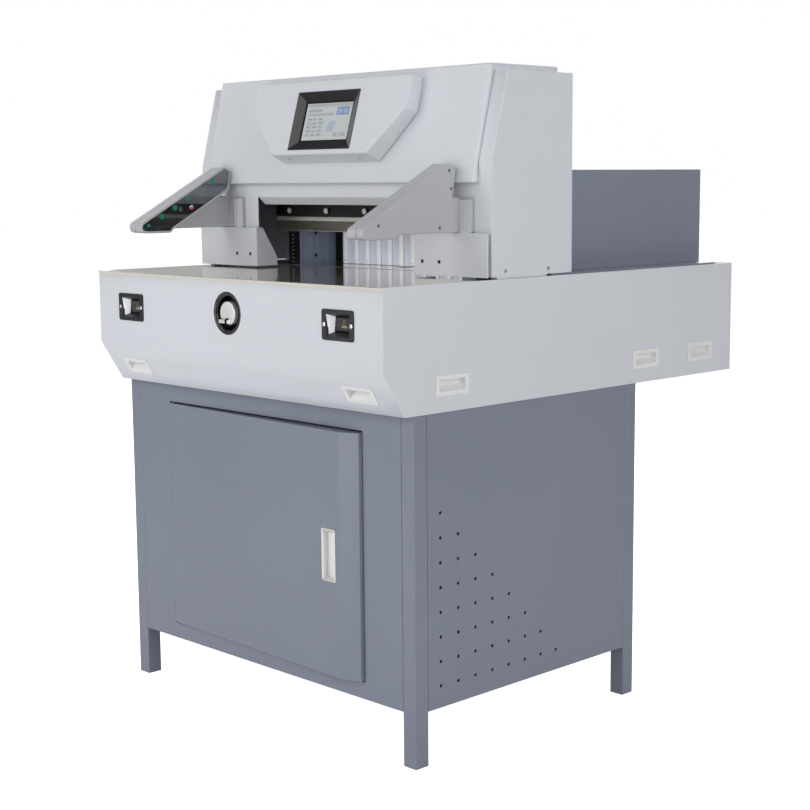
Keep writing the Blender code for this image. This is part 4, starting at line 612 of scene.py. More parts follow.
def many_sided(radius, sides, start=0.0):
    turns = [start + 2 * math.pi * i / sides for i in range(sides)]
    return [(radius * math.cos(turn), radius * math.sin(turn)) for turn in turns]


def facing(direction, centre):
    """A frame at a point whose Z axis runs along a direction and whose Y axis is as near up as it can be."""
    out = Vector(direction).normalized()
    across = Vector(UP).cross(out).normalized()
    turn = Matrix((across, out.cross(across), out)).transposed().to_4x4()
    return Matrix.Translation(centre) @ turn


def broad_face(name, direction):
    """A frame in the middle of the largest flat face of a CAD node that looks roughly one way."""
    bm = bmesh.new()
    bm.from_mesh(free_mesh(name))
    aim = Vector(direction).normalized()
    best = max(bm.faces, key=lambda face: face.calc_area() if face.normal.dot(aim) > 0.8 else 0.0)
    where = facing(best.normal, best.calc_center_bounds())
    local = [where.inverted() @ vertex.co for vertex in best.verts]
    bm.free()
    middle = [(min(values) + max(values)) / 2 for values in zip(*local)]
    return where @ Matrix.Translation(middle)


def surface_seen(names, direction, point):
    """The outermost point of some CAD nodes on a line through a point, as seen against a direction."""
    bm = bmesh.new()
    for name in names:
        bm.from_mesh(NODES[name].data)
    tree = BVHTree.FromBMesh(bm)
    bm.free()
    out = Vector(direction)
    return tree.ray_cast(Vector(point) + out, -out)[0]


# Geometry Nodes trees for what repeats


# What a tree reads at each point
POINT_FACTS = {"axis": "FLOAT_VECTOR", "size": "FLOAT"}


def points_group(label, sizes):
    """The start of a tree that sets a small shape on every point of a mesh."""
    inputs = {"Geometry": "Geometry", **sizes, "Finish": "Material"}
    return new_group(label, "GeometryNodeTree", inputs, {"Geometry": "Geometry"})


def on_points(graph, piece):
    """The end of such a tree: the shape is turned to each point's axis and scaled to its size."""
    axis, size = (
        graph.node("GeometryNodeInputNamedAttribute", {"Name": label}, "Attribute", data_type=kind)
        for label, kind in POINT_FACTS.items()
    )
    turn = graph.node("FunctionNodeAlignRotationToVector", {"Vector": axis}, axis="Z")
    spread = {"Points": graph.given["Geometry"], "Instance": piece, "Rotation": turn, "Scale": size}
    copies = graph.node("GeometryNodeInstanceOnPoints", spread)
    real = graph.node("GeometryNodeRealizeInstances", {"Geometry": copies})
    finished = graph.node("GeometryNodeSetMaterial", {"Geometry": real, "Material": graph.given["Finish"]})
    graph.feed(graph.result["Geometry"], finished)
    return graph.tree


@built_once("Screw heads")
def screw_heads(label):
    """Pan-head screws with a cross slot."""
    sizes = {"Head radius": 0.0036, "Head height": 0.0019, "Crown share": 0.62}
    sizes.update({"Drive width": 0.0009, "Drive length": 0.0040, "Drive depth": 0.0011})
    graph = points_group(label, sizes)
    radius, height, crown_share, width, reach, depth = (graph.given[size] for size in sizes)
    half = graph.over(height, 2.0)
    sides = {"Vertices": 28, "Depth": half}
    base = graph.node("GeometryNodeMeshCylinder", {**sides, "Radius": radius}, fill_type="NGON")
    radii = {"Radius Bottom": radius, "Radius Top": graph.times(radius, crown_share)}
    crown = graph.node("GeometryNodeMeshCone", {**sides, **radii}, fill_type="NGON")
    stacked = [graph.raised(base, graph.over(height, 4.0)), graph.raised(crown, graph.times(half, 0.98))]
    head = graph.node("GeometryNodeMeshBoolean", {"Mesh 2": stacked}, operation="UNION", solver="EXACT")
    twice = graph.times(depth, 2.0)
    bars = []
    for across, along in ((reach, width), (width, reach)):
        bar = graph.node("GeometryNodeMeshCube", {"Size": graph.vector(across, along, twice)})
        bars.append(graph.raised(bar, height))
    return on_points(graph, graph.cut(head, bars))


@built_once("Socket screws")
def socket_screws(label):
    """Screws with a straight head, a chamfer and a hexagon socket."""
    sizes = {"Head radius": 0.0042, "Head height": 0.0020, "Socket width": 0.0023}
    graph = points_group(label, sizes)
    radius, height, width = (graph.given[size] for size in sizes)
    cone = {"Vertices": 28, "Radius Bottom": radius, "Radius Top": graph.times(radius, 0.9), "Depth": height}
    head = graph.node("GeometryNodeMeshCone", cone, fill_type="NGON")
    hexagon = {"Vertices": 6, "Radius": width, "Depth": height}
    tool = graph.node("GeometryNodeMeshCylinder", hexagon, fill_type="NGON")
    return on_points(graph, graph.cut(head, graph.raised(tool, graph.times(height, 0.75))))


@built_once("Lenses")
def lenses(label):
    """Low domes, such as light barriers and lamps."""
    graph = points_group(label, {"Radius": 0.005, "Rise": 0.0005})
    radius = graph.given["Radius"]
    ball = graph.node("GeometryNodeMeshUVSphere", {"Segments": 28, "Rings": 14, "Radius": 1.0})
    flattened = {"Geometry": ball, "Scale": graph.vector(radius, radius, graph.given["Rise"])}
    return on_points(graph, graph.node("GeometryNodeTransform", flattened))


@built_once("Dashes")
def dashes(label):
    """Small raised dashes."""
    graph = points_group(label, {"Size": (0.002, 0.006, 0.0006)})
    return on_points(graph, graph.node("GeometryNodeMeshCube", {"Size": graph.given["Size"]}))


def socket_id(tree, label):
    for item in tree.interface.items_tree:
        if item.item_type == "SOCKET" and item.in_out == "INPUT" and item.name == label:
            return item.identifier
    raise KeyError(label)


def set_on_points(name, tree, values, places, material, slot, body="machine"):
    """Runs a tree over places, each (point, axis) or (point, axis, size), and keeps a plain mesh."""
    mesh = bpy.data.meshes.new(name)
    mesh.from_pydata([tuple(place[0]) for place in places], [], [])
    for label, kind in POINT_FACTS.items():
        mesh.attributes.new(label, kind, "POINT")
    for i, (_, axis, *size) in enumerate(places):
        mesh.attributes["axis"].data[i].vector = Vector(axis).normalized()
        mesh.attributes["size"].data[i].value = size[0] if size else 1.0
    made = new_object(name, mesh)
    step = made.modifiers.new("places", "NODES")
    step.node_group = tree
    for label, value in {**values, "Finish": material}.items():
        step[socket_id(tree, label)] = value
    baked(made)
    made.data.shade_smooth()
    made.data.set_sharp_from_angle(angle=math.radians(35))
    return dressed(made, material, body, slot)


def screws(name, places, material, slot="polished_steel", body="machine", scale=1.0):
    sizes = settings("screws")
    values = {
        "Head radius": sizes.head * scale,
        "Head height": sizes.rise * scale,
        "Drive width": sizes.drive * scale,
        "Drive length": sizes.head * scale * 1.15,
        "Drive depth": sizes.rise * scale * 0.6,
    }
    return set_on_points(name, screw_heads(), values, places, material, slot, body)


# Operators, one for each piece or group of like pieces


class CutterOperator:
    bl_options = {"REGISTER", "UNDO"}

    def execute(self, context):
        self.make()
        return {"FINISHED"}


class CUTTER_OT_body(CutterOperator, bpy.types.Operator):
    """Body and tower panels in pale powder coat"""

    bl_idname = "cutter.body"
    bl_label = "Body and tower panels"

    def make(self):
        coat = paint("pale")
        welded_sheets("front_apron", ["body_left_panel", "body_right_panel"], coat, "pale_paint")
        welded_sheets("tower_fascia", ["tower_left_panel", "tower_right_panel"], coat, "pale_paint")
        for name in ("body_rear_panel", "tower_rear_panel", "left_table_bracket", "right_table_bracket"):
            skin(name, coat, "pale_paint")
        for name in ("tower_cover", "display_pod"):
            skin(name, coat, "pale_paint", broad=settings("paint").cover_fold, segments=4)


class CUTTER_OT_cabinet(CutterOperator, bpy.types.Operator):
    """Cabinet, door and rear guard in slate powder coat"""

    bl_idname = "cutter.cabinet"
    bl_label = "Cabinet and guard"

    SHEET_FOLD = 0.0012
    LEG_CORNER = 0.0016

    def make(self):
        coat = paint("slate")
        sheets = ("front_panel", "left_panel", "right_panel", "back_panel", "floor", "door")
        for name in (*(f"cabinet_{sheet}" for sheet in sheets), "rear_guard"):
            skin(name, coat, "slate_paint", broad=self.SHEET_FOLD)
        for name in NODES:
            if name.startswith("leg_"):
                skin(name, coat, "slate_paint", broad=self.LEG_CORNER)


class CUTTER_OT_tables(CutterOperator, bpy.types.Operator):
    """Polished steel tables and the red cutting stick"""

    bl_idname = "cutter.tables"
    bl_label = "Tables and cutting stick"

    # The cream strip's thickness, and what it leaves free at the top, at the ends and all round
    STRIP_THICKNESS = 0.0002
    STRIP_DROP = 0.0005
    STRIP_END = 0.0010
    STRIP_GAP = 0.0002

    def make(self):
        tint = (0.71, 0.685, 0.585)
        polish = steel("polished_table", tint, 0.085, (1.0, 26.0, 1.0), 0.06, 0.10, 0.012, 0.85)
        for name in ("front_table", "rear_table"):
            skin(name, polish, "polished_steel", 0.0004, 0.0006)
        edge = plastic("table_edge_cream", (0.66, 0.635, 0.58), 0.34, 900.0, 0.05, 0.04)
        bottom = node_box("front_apron")[1].z
        top = TABLE_TOP - self.STRIP_DROP
        where = facing(FRONT, Vector((0, TABLE_LOW.y - TRIM_LIFT, (top + bottom) / 2)))
        strip = oblong(TABLE_HIGH.x - self.STRIP_END, (top - bottom) / 2 - self.STRIP_GAP)
        plates("table_front_edge", [(strip, where, self.STRIP_THICKNESS)], edge, "polished_steel")
        # The red stick's glow is painted light that brightens its line
        painted_light = painted_glow((0.9, 0.04, 0.05), 0.24)
        red = plastic("cutting_stick_red", (0.78, 0.030, 0.026), 0.55, 900.0, 0.10, IOR=1.2, **painted_light)
        skin("cutting_stick", red, "red_plastic", 0.0005, 0.0005)


class CUTTER_OT_modules(CutterOperator, bpy.types.Operator):
    """Push modules: bezels, buttons, bright facets of painted reflection, symbols and screws"""

    bl_idname = "cutter.modules"
    bl_label = "Push modules"

    # Painted reflections as bright faces on the scoop's left wall, by corners as shares of its depth and of
    # its height from the top
    FACETS = {
        "sliver": ((0.0, 0.0), (0.14, 0.0), (0.30, 0.62), (0.16, 0.62)),
        "face": ((0.18, 0.0), (1.0, 0.0), (0.88, 1.0), (0.26, 1.0)),
    }
    # That wall's near and far edges: X and depth, then top and bottom, from the bezel's middle and face
    WALL_NEAR = ((-0.0316, 0.0010), (0.0196, -0.0200))
    WALL_FAR = ((-0.0250, 0.0186), (0.0138, -0.0138))
    SCREW_SHARE = 0.423
    # The symbol's bar, and its sheet's lower and upper edges, by height on the button
    SYMBOL_BAR = (-0.0062, -0.0022)
    SYMBOL_SHEET = (-0.0008, 0.0085)
    SHEET_SHARE = 0.36

    def make(self):
        sizes = settings("modules")
        shell = plastic("module_charcoal", (0.013, 0.015, 0.021), 0.46, 1500.0, 0.10)
        cap = plastic("button_black", (0.026, 0.024, 0.022), 0.44, 1500.0, 0.10)
        # Painted reflection with a painted glow for the bright faces in the scoops
        painted_light = painted_glow((0.95, 0.95, 1.0), 0.30)
        painted_reflection = plastic("bright_facet", (0.93, 0.93, 0.96), 0.16, 800.0, 0.02, 0.02, 0.05, **painted_light)
        gold = plastic("symbol_yellow", (0.34, 0.29, 0.15), 0.45, 1500.0, 0.05)
        screw = steel("white_screw", (0.86, 0.86, 0.84), 0.22, (20.0, 20.0, 20.0), 0.05, 0.05, 0.02)
        values = {
            "Head radius": sizes.screw_head,
            "Head height": sizes.screw_rise,
            "Crown share": 0.7,
            "Drive width": sizes.screw_head * 0.2,
            "Drive length": sizes.screw_head,
            "Drive depth": sizes.screw_rise * 0.35,
        }
        for hand, _ in HANDS:
            skin(f"{hand}_button_bezel", shell, "charcoal_plastic", 0.0007, 0.0007)
            skin(f"{hand}_cut_button", cap, "black_plastic", 0.0008, 0.0008)
            low, high = node_box(f"{hand}_button_bezel")
            middle = Vector(((low.x + high.x) / 2, low.y, (low.z + high.z) / 2))
            self.facet(hand, painted_reflection, middle, sizes.facet)
            self.symbol(hand, gold, sizes)
            spread = Vector(((high.x - low.x) * self.SCREW_SHARE, 0, 0))
            places = [(middle - spread, FRONT), (middle + spread, FRONT)]
            set_on_points(f"{hand}_module_screws", screw_heads(), values, places, screw, "white_plastic")

    def facet(self, hand, material, middle, thickness):
        """A painted reflection, as a glowing bright face on the left wall of the scoop, with a dark slit
        that parts a sliver from it.
        """
        (near, near_levels), (far, far_levels) = self.WALL_NEAR, self.WALL_FAR
        wall = Vector((far[1] - near[1], near[0] - far[0], 0)).normalized()

        def on_wall(depth, level):
            x, y = (a + (b - a) * depth for a, b in zip(near, far))
            top, bottom = (a + (b - a) * depth for a, b in zip(near_levels, far_levels))
            return middle + Vector((x, y, top + (bottom - top) * level))

        for part, outline in self.FACETS.items():
            shape = slab([on_wall(*corner) for corner in outline], wall * thickness)
            mesh_object(f"{hand}_bright_{part}", *shape, material, "white_plastic")

    def symbol(self, hand, material, sizes):
        """A plain outline over a bar, painted on the button's face."""
        where = broad_face(f"{hand}_cut_button", FRONT)
        line = sizes.icon_line
        half = sizes.icon_width / 2
        wide = half * self.SHEET_SHARE
        (bar_low, bar_high), (low, high) = self.SYMBOL_BAR, self.SYMBOL_SHEET
        outlines = (
            rectangle(-half, bar_low, half, bar_high),
            rectangle(-line / 2, bar_high, line / 2, low),
            rectangle(-wide, low, wide, low + line),
            rectangle(-wide, high - line, wide, high),
            rectangle(-wide, low + line, line - wide, high - line),
            rectangle(wide - line, low + line, wide, high - line),
        )
        shapes = [(outline, where, sizes.icon_lift) for outline in outlines]
        plates(f"{hand}_button_symbol", shapes, material, "white_plastic", f"{hand}_button")


class CUTTER_OT_handwheel(CutterOperator, bpy.types.Operator):
    """Handwheel well, wheel, folding crank and gauge screw"""

    bl_idname = "cutter.handwheel"
    bl_label = "Handwheel"

    # The well's cross section: its walls from the outside, its floor, and the round lip
    BORE_WALL = 0.0090
    SLEEVE_WALL = 0.0072
    FLOOR_THICKNESS = 0.0020
    FLOOR_CORNER = (0.0010, 0.0032)
    LIP_DEPTH = 0.0045
    LIP_TILT = 0.0015
    LIP_HEIGHT = 0.00195
    LIP_STEPS = 12
    LIP_FOOT = (0.0004, 0.0003)
    WHEEL_THICKNESS = 0.010
    RIM_STEPS = 6
    REAR_CHAMFER = 0.0006
    HUB_RADIUS = 0.011
    SHAFT_HOLE = 0.0098
    GROOVE_ROOM = 0.0004
    GROOVE_DEPTH = 0.03
    COLLAR_ROOM = 0.0002
    COLLAR_PLACE = -0.0008

    def make(self):
        gloss = plastic("well_black_gloss", (0.010, 0.010, 0.011), 0.07, 300.0, 0.02, 0.2, 0.06, IOR=1.8)
        satin = steel("wheel_satin", (0.86, 0.86, 0.85), 0.30, (24.0, 24.0, 24.0), 0.10, 0.05, 0.03, 0.40)
        low, high = node_box("handwheel_well")
        centre = (low + high) / 2
        well = self.lathe("handwheel_well_finished", self.well_profile(low, high), centre)
        dressed(well, gloss, "machine", "black_plastic", "handwheel_well")
        self.wheel(satin, centre)
        skin("handwheel_crank", satin, "white_plastic", 0.0005, 0.0005)
        ground = steel("ground_screw", (0.52, 0.52, 0.51), 0.24, (1.0, 60.0, 1.0))
        skin("gauge_screw", ground, "brushed_steel")
        low, high = node_box("handwheel_crank")
        middle = (low + high) / 2
        radius = (high.z - low.z) / math.sqrt(2) + self.COLLAR_ROOM
        where = facing(RIGHT, Vector((self.COLLAR_PLACE, middle.y, middle.z)))
        sleeve = (many_sided(radius, 8, math.radians(22.5)), where, settings("wheel").joint)
        plates("crank_collar", [sleeve], black_screw(), "black_plastic", "crank")

    def well_profile(self, low, high):
        """The cup with its round lip, as (radius, Y)."""
        outer = (high.x - low.x) / 2
        bore = outer - self.BORE_WALL
        inner = outer - self.SLEEVE_WALL
        back = high.y
        floor = back - self.FLOOR_THICKNESS
        cut, rise = self.FLOOR_CORNER
        profile = [(self.SHAFT_HOLE, floor), (bore - cut, floor)]
        profile += [(bore, back - rise), (bore, BODY_FRONT + self.LIP_DEPTH)]
        for step in range(self.LIP_STEPS + 1):
            turn = math.pi * step / self.LIP_STEPS
            rise = self.LIP_TILT * (1 + math.cos(turn)) - self.LIP_HEIGHT * math.sin(turn)
            profile.append((bore + (outer - bore) / 2 * (1 - math.cos(turn)), BODY_FRONT + rise))
        narrow, foot = self.LIP_FOOT
        profile += [(outer - narrow, BODY_FRONT - foot), (inner, BODY_FRONT - foot)]
        return profile + [(inner, back), (self.SHAFT_HOLE, back)]

    def wheel(self, material, centre):
        """The wheel with a fully rounded edge, its hub and the groove in which the crank lies."""
        low, high = node_box("handwheel")
        radius = (high.x - low.x) / 2
        rim = settings("wheel").rim
        back = low.y + self.WHEEL_THICKNESS
        profile = [(0.0, low.y), (radius - rim, low.y)]
        for step in range(1, self.RIM_STEPS + 1):
            turn = math.pi / 2 * step / self.RIM_STEPS
            profile.append((radius - rim + rim * math.sin(turn), low.y + rim * (1 - math.cos(turn))))
        profile += [(radius, back - self.REAR_CHAMFER), (radius - self.REAR_CHAMFER, back)]
        profile += [(self.HUB_RADIUS, back), (self.HUB_RADIUS, high.y), (0.0, high.y)]
        made = self.lathe("handwheel_finished", profile, centre)
        low, high = node_box("handwheel_crank")
        room = self.GROOVE_ROOM
        right = high.x + room
        groove = rectangle(right - 4 * radius, low.z - room, right, high.z + room)
        ring = [Vector((x, high.y + room, z)) for x, z in groove]
        shape = slab(ring, Vector(FRONT) * self.GROOVE_DEPTH)
        cutter = new_object("crank_groove", closed_mesh("crank_groove", *shape))
        cut = made.modifiers.new("groove", "BOOLEAN")
        cut.operation = "DIFFERENCE"
        cut.solver = "EXACT"
        cut.object = cutter
        baked(made)
        bpy.data.objects.remove(cutter, do_unlink=True)
        made.data.set_sharp_from_angle(angle=math.radians(35))
        dressed(made, material, "wheel", "polished_steel", "handwheel")

    def lathe(self, name, profile, centre):
        """A smooth turned shape round the wheel's axis from a closed outline of (radius, Y)."""
        steps = settings("wheel").steps
        count = len(profile)
        points = []
        faces = []
        for i in range(steps):
            turn = 2 * math.pi * i / steps
            after = (i + 1) % steps
            for j, (radius, y) in enumerate(profile):
                k = (j + 1) % count
                points.append((centre.x + radius * math.cos(turn), y, centre.z + radius * math.sin(turn)))
                faces.append((i * count + j, after * count + j, after * count + k, i * count + k))
        mesh = closed_mesh(name, points, faces, merged=True)
        mesh.shade_smooth()
        mesh.set_sharp_from_angle(angle=math.radians(40))
        return new_object(name, mesh)


class CUTTER_OT_grips(CutterOperator, bpy.types.Operator):
    """White grips and the door pull"""

    bl_idname = "cutter.grips"
    bl_label = "Grips and door pull"

    # The cream caps' outer and inner edges, from the pull's ends, and what they leave free at its sides
    CAP_EDGES = (0.0012, 0.0056)
    CAP_MARGIN = 0.0030
    CAP_THICKNESS = 0.0002

    def make(self):
        white = plastic("grip_white", (0.80, 0.80, 0.80), 0.38, 1500.0, 0.08, 0.03)
        for name in NODES:
            if "_grip_" in name:
                skin(name, white, "white_plastic", 0.0007, 0.0009)
        skin("door_pull", white, "white_plastic", 0.0006, 0.0006)
        cream = plastic("pull_cap_cream", (0.56, 0.53, 0.46), 0.45, 1200.0, 0.06, 0.03)
        low, high = node_box("door_pull")
        out = broad_face("door_pull", FRONT).to_3x3().col[2]
        where = facing(out, Vector(((low.x + high.x) / 2, 0, (low.z + high.z) / 2)))
        local = [where.inverted() @ vertex.co for vertex in NODES["door_pull"].data.vertices]
        left, right = (pick(point.x for point in local) for pick in (min, max))
        where = where @ Matrix.Translation((0, 0, max(point.z for point in local)))
        shapes = []
        for side in (-1, 1):
            ends = sorted(side * ((high.z - low.z) / 2 - edge) for edge in self.CAP_EDGES)
            cap = rectangle(left + self.CAP_MARGIN, ends[0], right - self.CAP_MARGIN, ends[1])
            shapes.append((cap, where, self.CAP_THICKNESS))
        plates("door_pull_end_caps", shapes, cream, "white_plastic", "door")


class CUTTER_OT_arms(CutterOperator, bpy.types.Operator):
    """Sensor arms with their glossy panes, lenses, lamps and screws"""

    bl_idname = "cutter.arms"
    bl_label = "Sensor arms"

    # Lenses as (Y, Z) on the arm's inner face, the small one first
    LENSES = ((-0.491, 1.0125), (-0.456, 1.031), (-0.421, 1.049), (-0.386, 1.068), (-0.318, 1.106))
    LAMP = (-0.3765, 1.049)
    LAMP_LIGHT = (-0.3759, 1.047)
    OUTER_SCREWS = ((-0.286, 1.122), (-0.281, 1.088), (-0.3125, 1.014), (-0.472, 1.022))
    WINDOW_DEPTH = 0.002
    # Between which depths a window's floor is looked for, and how a pane is set off it
    WINDOW_DEPTHS = (0.0008, 0.004)
    PANE_GAP = 0.0002
    PANE_LIFT = 0.00005
    # Fine roundings of the bracket and of the housing
    FINE_EDGES = (0.0007, 0.0006)
    # Only corners ahead of the tower, or up at the shoulder, get the wide rounding
    TOWER_REACH = -0.275
    SHOULDER_LEVEL = 1.11
    # An edge of the outline is this long at least, and takes this share of the flats beside it
    OUTLINE_EDGE = 0.008
    FLAT_SHARE = 0.42
    # Plates on the arm's foot as (inner X, outer X, thickness), with their middle and half height
    FOOT_PLATES = ((0.2975, 0.3165, 0.0006), (0.3190, 0.3230, 0.0012), (0.3692, 0.4001, 0.0006))
    FOOT_LEVEL = 1.0325
    FOOT_HALF = 0.0334
    # The level at which the block's face is looked for
    FOOT_FACE_LEVEL = 1.036

    def make(self):
        sizes = settings("sensors")
        black = plastic("pane_dark_mirror", (0.20, 0.21, 0.23), 0.05, 40.0, 0.30, 0.6, 0.10, Metallic=0.92)
        green = plastic("lens_green", (0.014, 0.200, 0.130), 0.22, 900.0, 0.03, 0.1, IOR=1.5)
        red = plastic("lamp_red", (0.75, 0.02, 0.02), 0.15, 900.0, 0.02)
        dark = turned_steel("arm_screw_steel", (0.17, 0.17, 0.18), 0.28)
        broad = settings("paint").arm_round
        for hand, side in HANDS:
            inward, outward = (LEFT, RIGHT) if side > 0 else (RIGHT, LEFT)
            names = [f"{hand}_arm_bracket", f"{hand}_arm_housing"]
            for name, fine in zip(names, self.FINE_EDGES):
                skin(name, paint("arm"), "arm_paint", fine, broad, 4, self.outline_corner)
            self.foot_plates(hand, side)
            low, high = node_box(f"{hand}_arm_housing")
            rim = low.x if side > 0 else high.x
            self.pane(hand, inward, rim, black)
            face = rim + side * (self.WINDOW_DEPTH - sizes.pane)
            shares = [sizes.small_lens] + [1.0] * (len(self.LENSES) - 1)
            spots = [(Vector((face, *place)), inward, share) for place, share in zip(self.LENSES, shares)]
            rims = [(Vector((face, *self.LAMP)), inward)]
            lights = [(Vector((face - side * sizes.dome, *self.LAMP_LIGHT)), inward)]
            for name, radius, rise, places, finish_of, slot in (
                ("arm_lenses", sizes.lens, sizes.dome, spots, green, "black_plastic"),
                ("lamp_rim", sizes.lamp, sizes.dome * 1.4, rims, chrome(), "white_plastic"),
                ("lamp_light", sizes.lamp * 0.58, sizes.dome, lights, red, "red_plastic"),
            ):
                values = {"Radius": radius, "Rise": rise}
                set_on_points(f"{hand}_{name}", lenses(), values, places, finish_of, slot)
            found = [surface_seen(names, outward, (side * HALF_WIDTH, y, z)) for y, z in self.OUTER_SCREWS]
            screws(f"{hand}_arm_screws", [(point, outward) for point in found if point], dark, scale=0.8)

    def outline_corner(self, edge):
        """A wide rounding for the corners of an arm's outline, as far as the flats beside them allow."""
        a, b = (v.co for v in edge.verts)
        run = (a - b).length
        along = run > self.OUTLINE_EDGE and abs(a.x - b.x) > 0.98 * run
        clear_of_tower = max(a.y, b.y) < self.TOWER_REACH or min(a.z, b.z) > self.SHOULDER_LEVEL
        if not (along and edge.is_convex and clear_of_tower):
            return None
        beside = min(face.calc_area() / run for face in edge.link_faces)
        return min(settings("sensors").corner, beside * self.FLAT_SHARE)

    def foot_plates(self, hand, side):
        """Pale plates and a bar on the front of the block that holds an arm."""
        shapes = []
        for start, end, thickness in self.FOOT_PLATES:
            middle = side * (start + end) / 2
            sought = (middle, BODY_FRONT, self.FOOT_FACE_LEVEL)
            at = surface_seen([f"{hand}_arm_bracket"], FRONT, sought)
            if at:
                where = facing(FRONT, Vector((middle, at.y, self.FOOT_LEVEL)))
                shapes.append((oblong((end - start) / 2, self.FOOT_HALF), where, thickness))
        plates(f"{hand}_arm_foot_plates", shapes, paint("pale"), "pale_paint")

    def pane(self, hand, inward, rim, material):
        """A glossy sheet that fills the window's recess."""
        bm = bmesh.new()
        bm.from_mesh(free_mesh(f"{hand}_arm_housing"))
        aim = Vector(inward)
        near, far = self.WINDOW_DEPTHS
        towards = [face for face in bm.faces if face.normal.dot(aim) > 0.95]
        sunk = [face for face in towards if near < abs(face.calc_center_median().x - rim) < far]
        floor = max(sunk, key=lambda face: face.calc_area())
        outline = [vertex.co.copy() for vertex in floor.verts]
        bm.free()
        centre = sum(outline, Vector()) / len(outline)
        lift = aim * self.PANE_LIFT
        ring = [point + (centre - point).normalized() * self.PANE_GAP + lift for point in outline]
        shape = slab(ring, aim * settings("sensors").pane)
        mesh_object(f"{hand}_arm_pane", *shape, material, "black_plastic")


class CUTTER_OT_display(CutterOperator, bpy.types.Operator):
    """Screen bezel and the touch screen with a plain page on it"""

    bl_idname = "cutter.display"
    bl_label = "Display"

    # Width and height of what the bezel leaves open
    VIEW = (0.147, 0.086)
    # Shapes of the page as (left, bottom, right, top) shares of the view, with a layer and a tint
    PAGE_SHARES = (
        ((0.02, 0.90, 0.98, 0.985), 1, (0.29, 0.32, 0.34)),
        ((0.68, 0.66, 0.95, 0.88), 1, (0.16, 0.22, 0.36)),
        ((0.705, 0.70, 0.80, 0.83), 2, (0.23, 0.30, 0.42)),
        ((0.83, 0.70, 0.925, 0.83), 2, (0.23, 0.30, 0.42)),
        ((0.05, 0.66, 0.62, 0.72), 1, (0.28, 0.30, 0.32)),
        ((0.05, 0.76, 0.36, 0.84), 1, (0.26, 0.29, 0.32)),
        ((0.68, 0.08, 0.78, 0.20), 1, (0.29, 0.32, 0.34)),
        ((0.81, 0.08, 0.95, 0.20), 1, (0.29, 0.32, 0.34)),
    )
    # Corners of the slanting sheet beside the table, as shares of the view too
    SHEET_SHARES = ((0.50, 0.22), (0.66, 0.22), (0.715, 0.50), (0.555, 0.50))
    TABLE_ROWS = 5
    TABLE_COLUMNS = 3
    TABLE_PITCH = (0.125, 0.105)
    # A cell and a mark as (left, bottom, right, top), and how marks differ in length
    CELL = (0.06, 0.10, 0.175, 0.190)
    MARK = (0.075, 0.128, 0.105, 0.158)
    MARK_STEP = 0.0225

    def make(self):
        sizes = settings("screen")
        bezel = plastic("bezel_charcoal", (0.018, 0.018, 0.020), 0.30, 1300.0, 0.06, 0.1)
        skin("screen_bezel", bezel, "charcoal_plastic", 0.0006, 0.0010)
        glass = plastic("screen_glass_black", (0.020, 0.021, 0.023), 0.10, 300.0, 0.01, 0.1, 0.04)
        skin("touch_screen", glass, "screen_glass", 0.0004, 0.0004)
        where = broad_face("touch_screen", FRONT)
        width, height = (side - 2 * sizes.inset for side in self.VIEW)
        self.lit("screen_page", [(oblong(width / 2, height / 2), where, sizes.layer)], tuple(sizes.page))
        raised = where @ Matrix.Translation((0, 0, sizes.layer))

        def shape(corners, level):
            outline = [((u - 0.5) * width, (v - 0.5) * height) for u, v in corners]
            return outline, raised, sizes.layer * level

        for i, (area, level, tint) in enumerate(self.PAGE_SHARES):
            self.lit(f"screen_field_{i + 1}", [shape(rectangle(*area), level)], tint)
        cells = []
        marks = []
        for row in range(self.TABLE_ROWS):
            for column in range(self.TABLE_COLUMNS):
                at = (column * self.TABLE_PITCH[0], row * self.TABLE_PITCH[1])
                longer = self.MARK_STEP * ((row * 2 + column) % 3)
                cells.append(shape(self.placed(self.CELL, at), 1))
                marks.append(shape(self.placed(self.MARK, at, longer), 2))
        self.lit("screen_table", cells, (0.33, 0.355, 0.365))
        self.lit("screen_table_marks", marks, (0.18, 0.20, 0.23))
        self.lit("screen_sheet", [shape(self.SHEET_SHARES, 1)], (0.29, 0.34, 0.40))

    def placed(self, area, at, longer=0.0):
        """An area moved to its place in the table."""
        left, bottom, right, top = area
        return rectangle(at[0] + left, at[1] + bottom, at[0] + right + longer, at[1] + top)

    def lit(self, name, shapes, tint):
        """A flat shape on the screen that shines a little by itself."""
        material = plastic(f"{name}_light", tint, 0.16, 300.0, 0.01, 0.05, 0.03)
        tree = material.node_tree
        shader = tree.nodes["Principled BSDF"].inputs
        effect = next(node for node in tree.nodes if node.type == "GROUP")
        tree.links.new(effect.outputs["Colour"], shader["Emission Color"])
        shader["Emission Strength"].default_value = settings("screen").glow
        plates(name, shapes, material, "screen_glass")


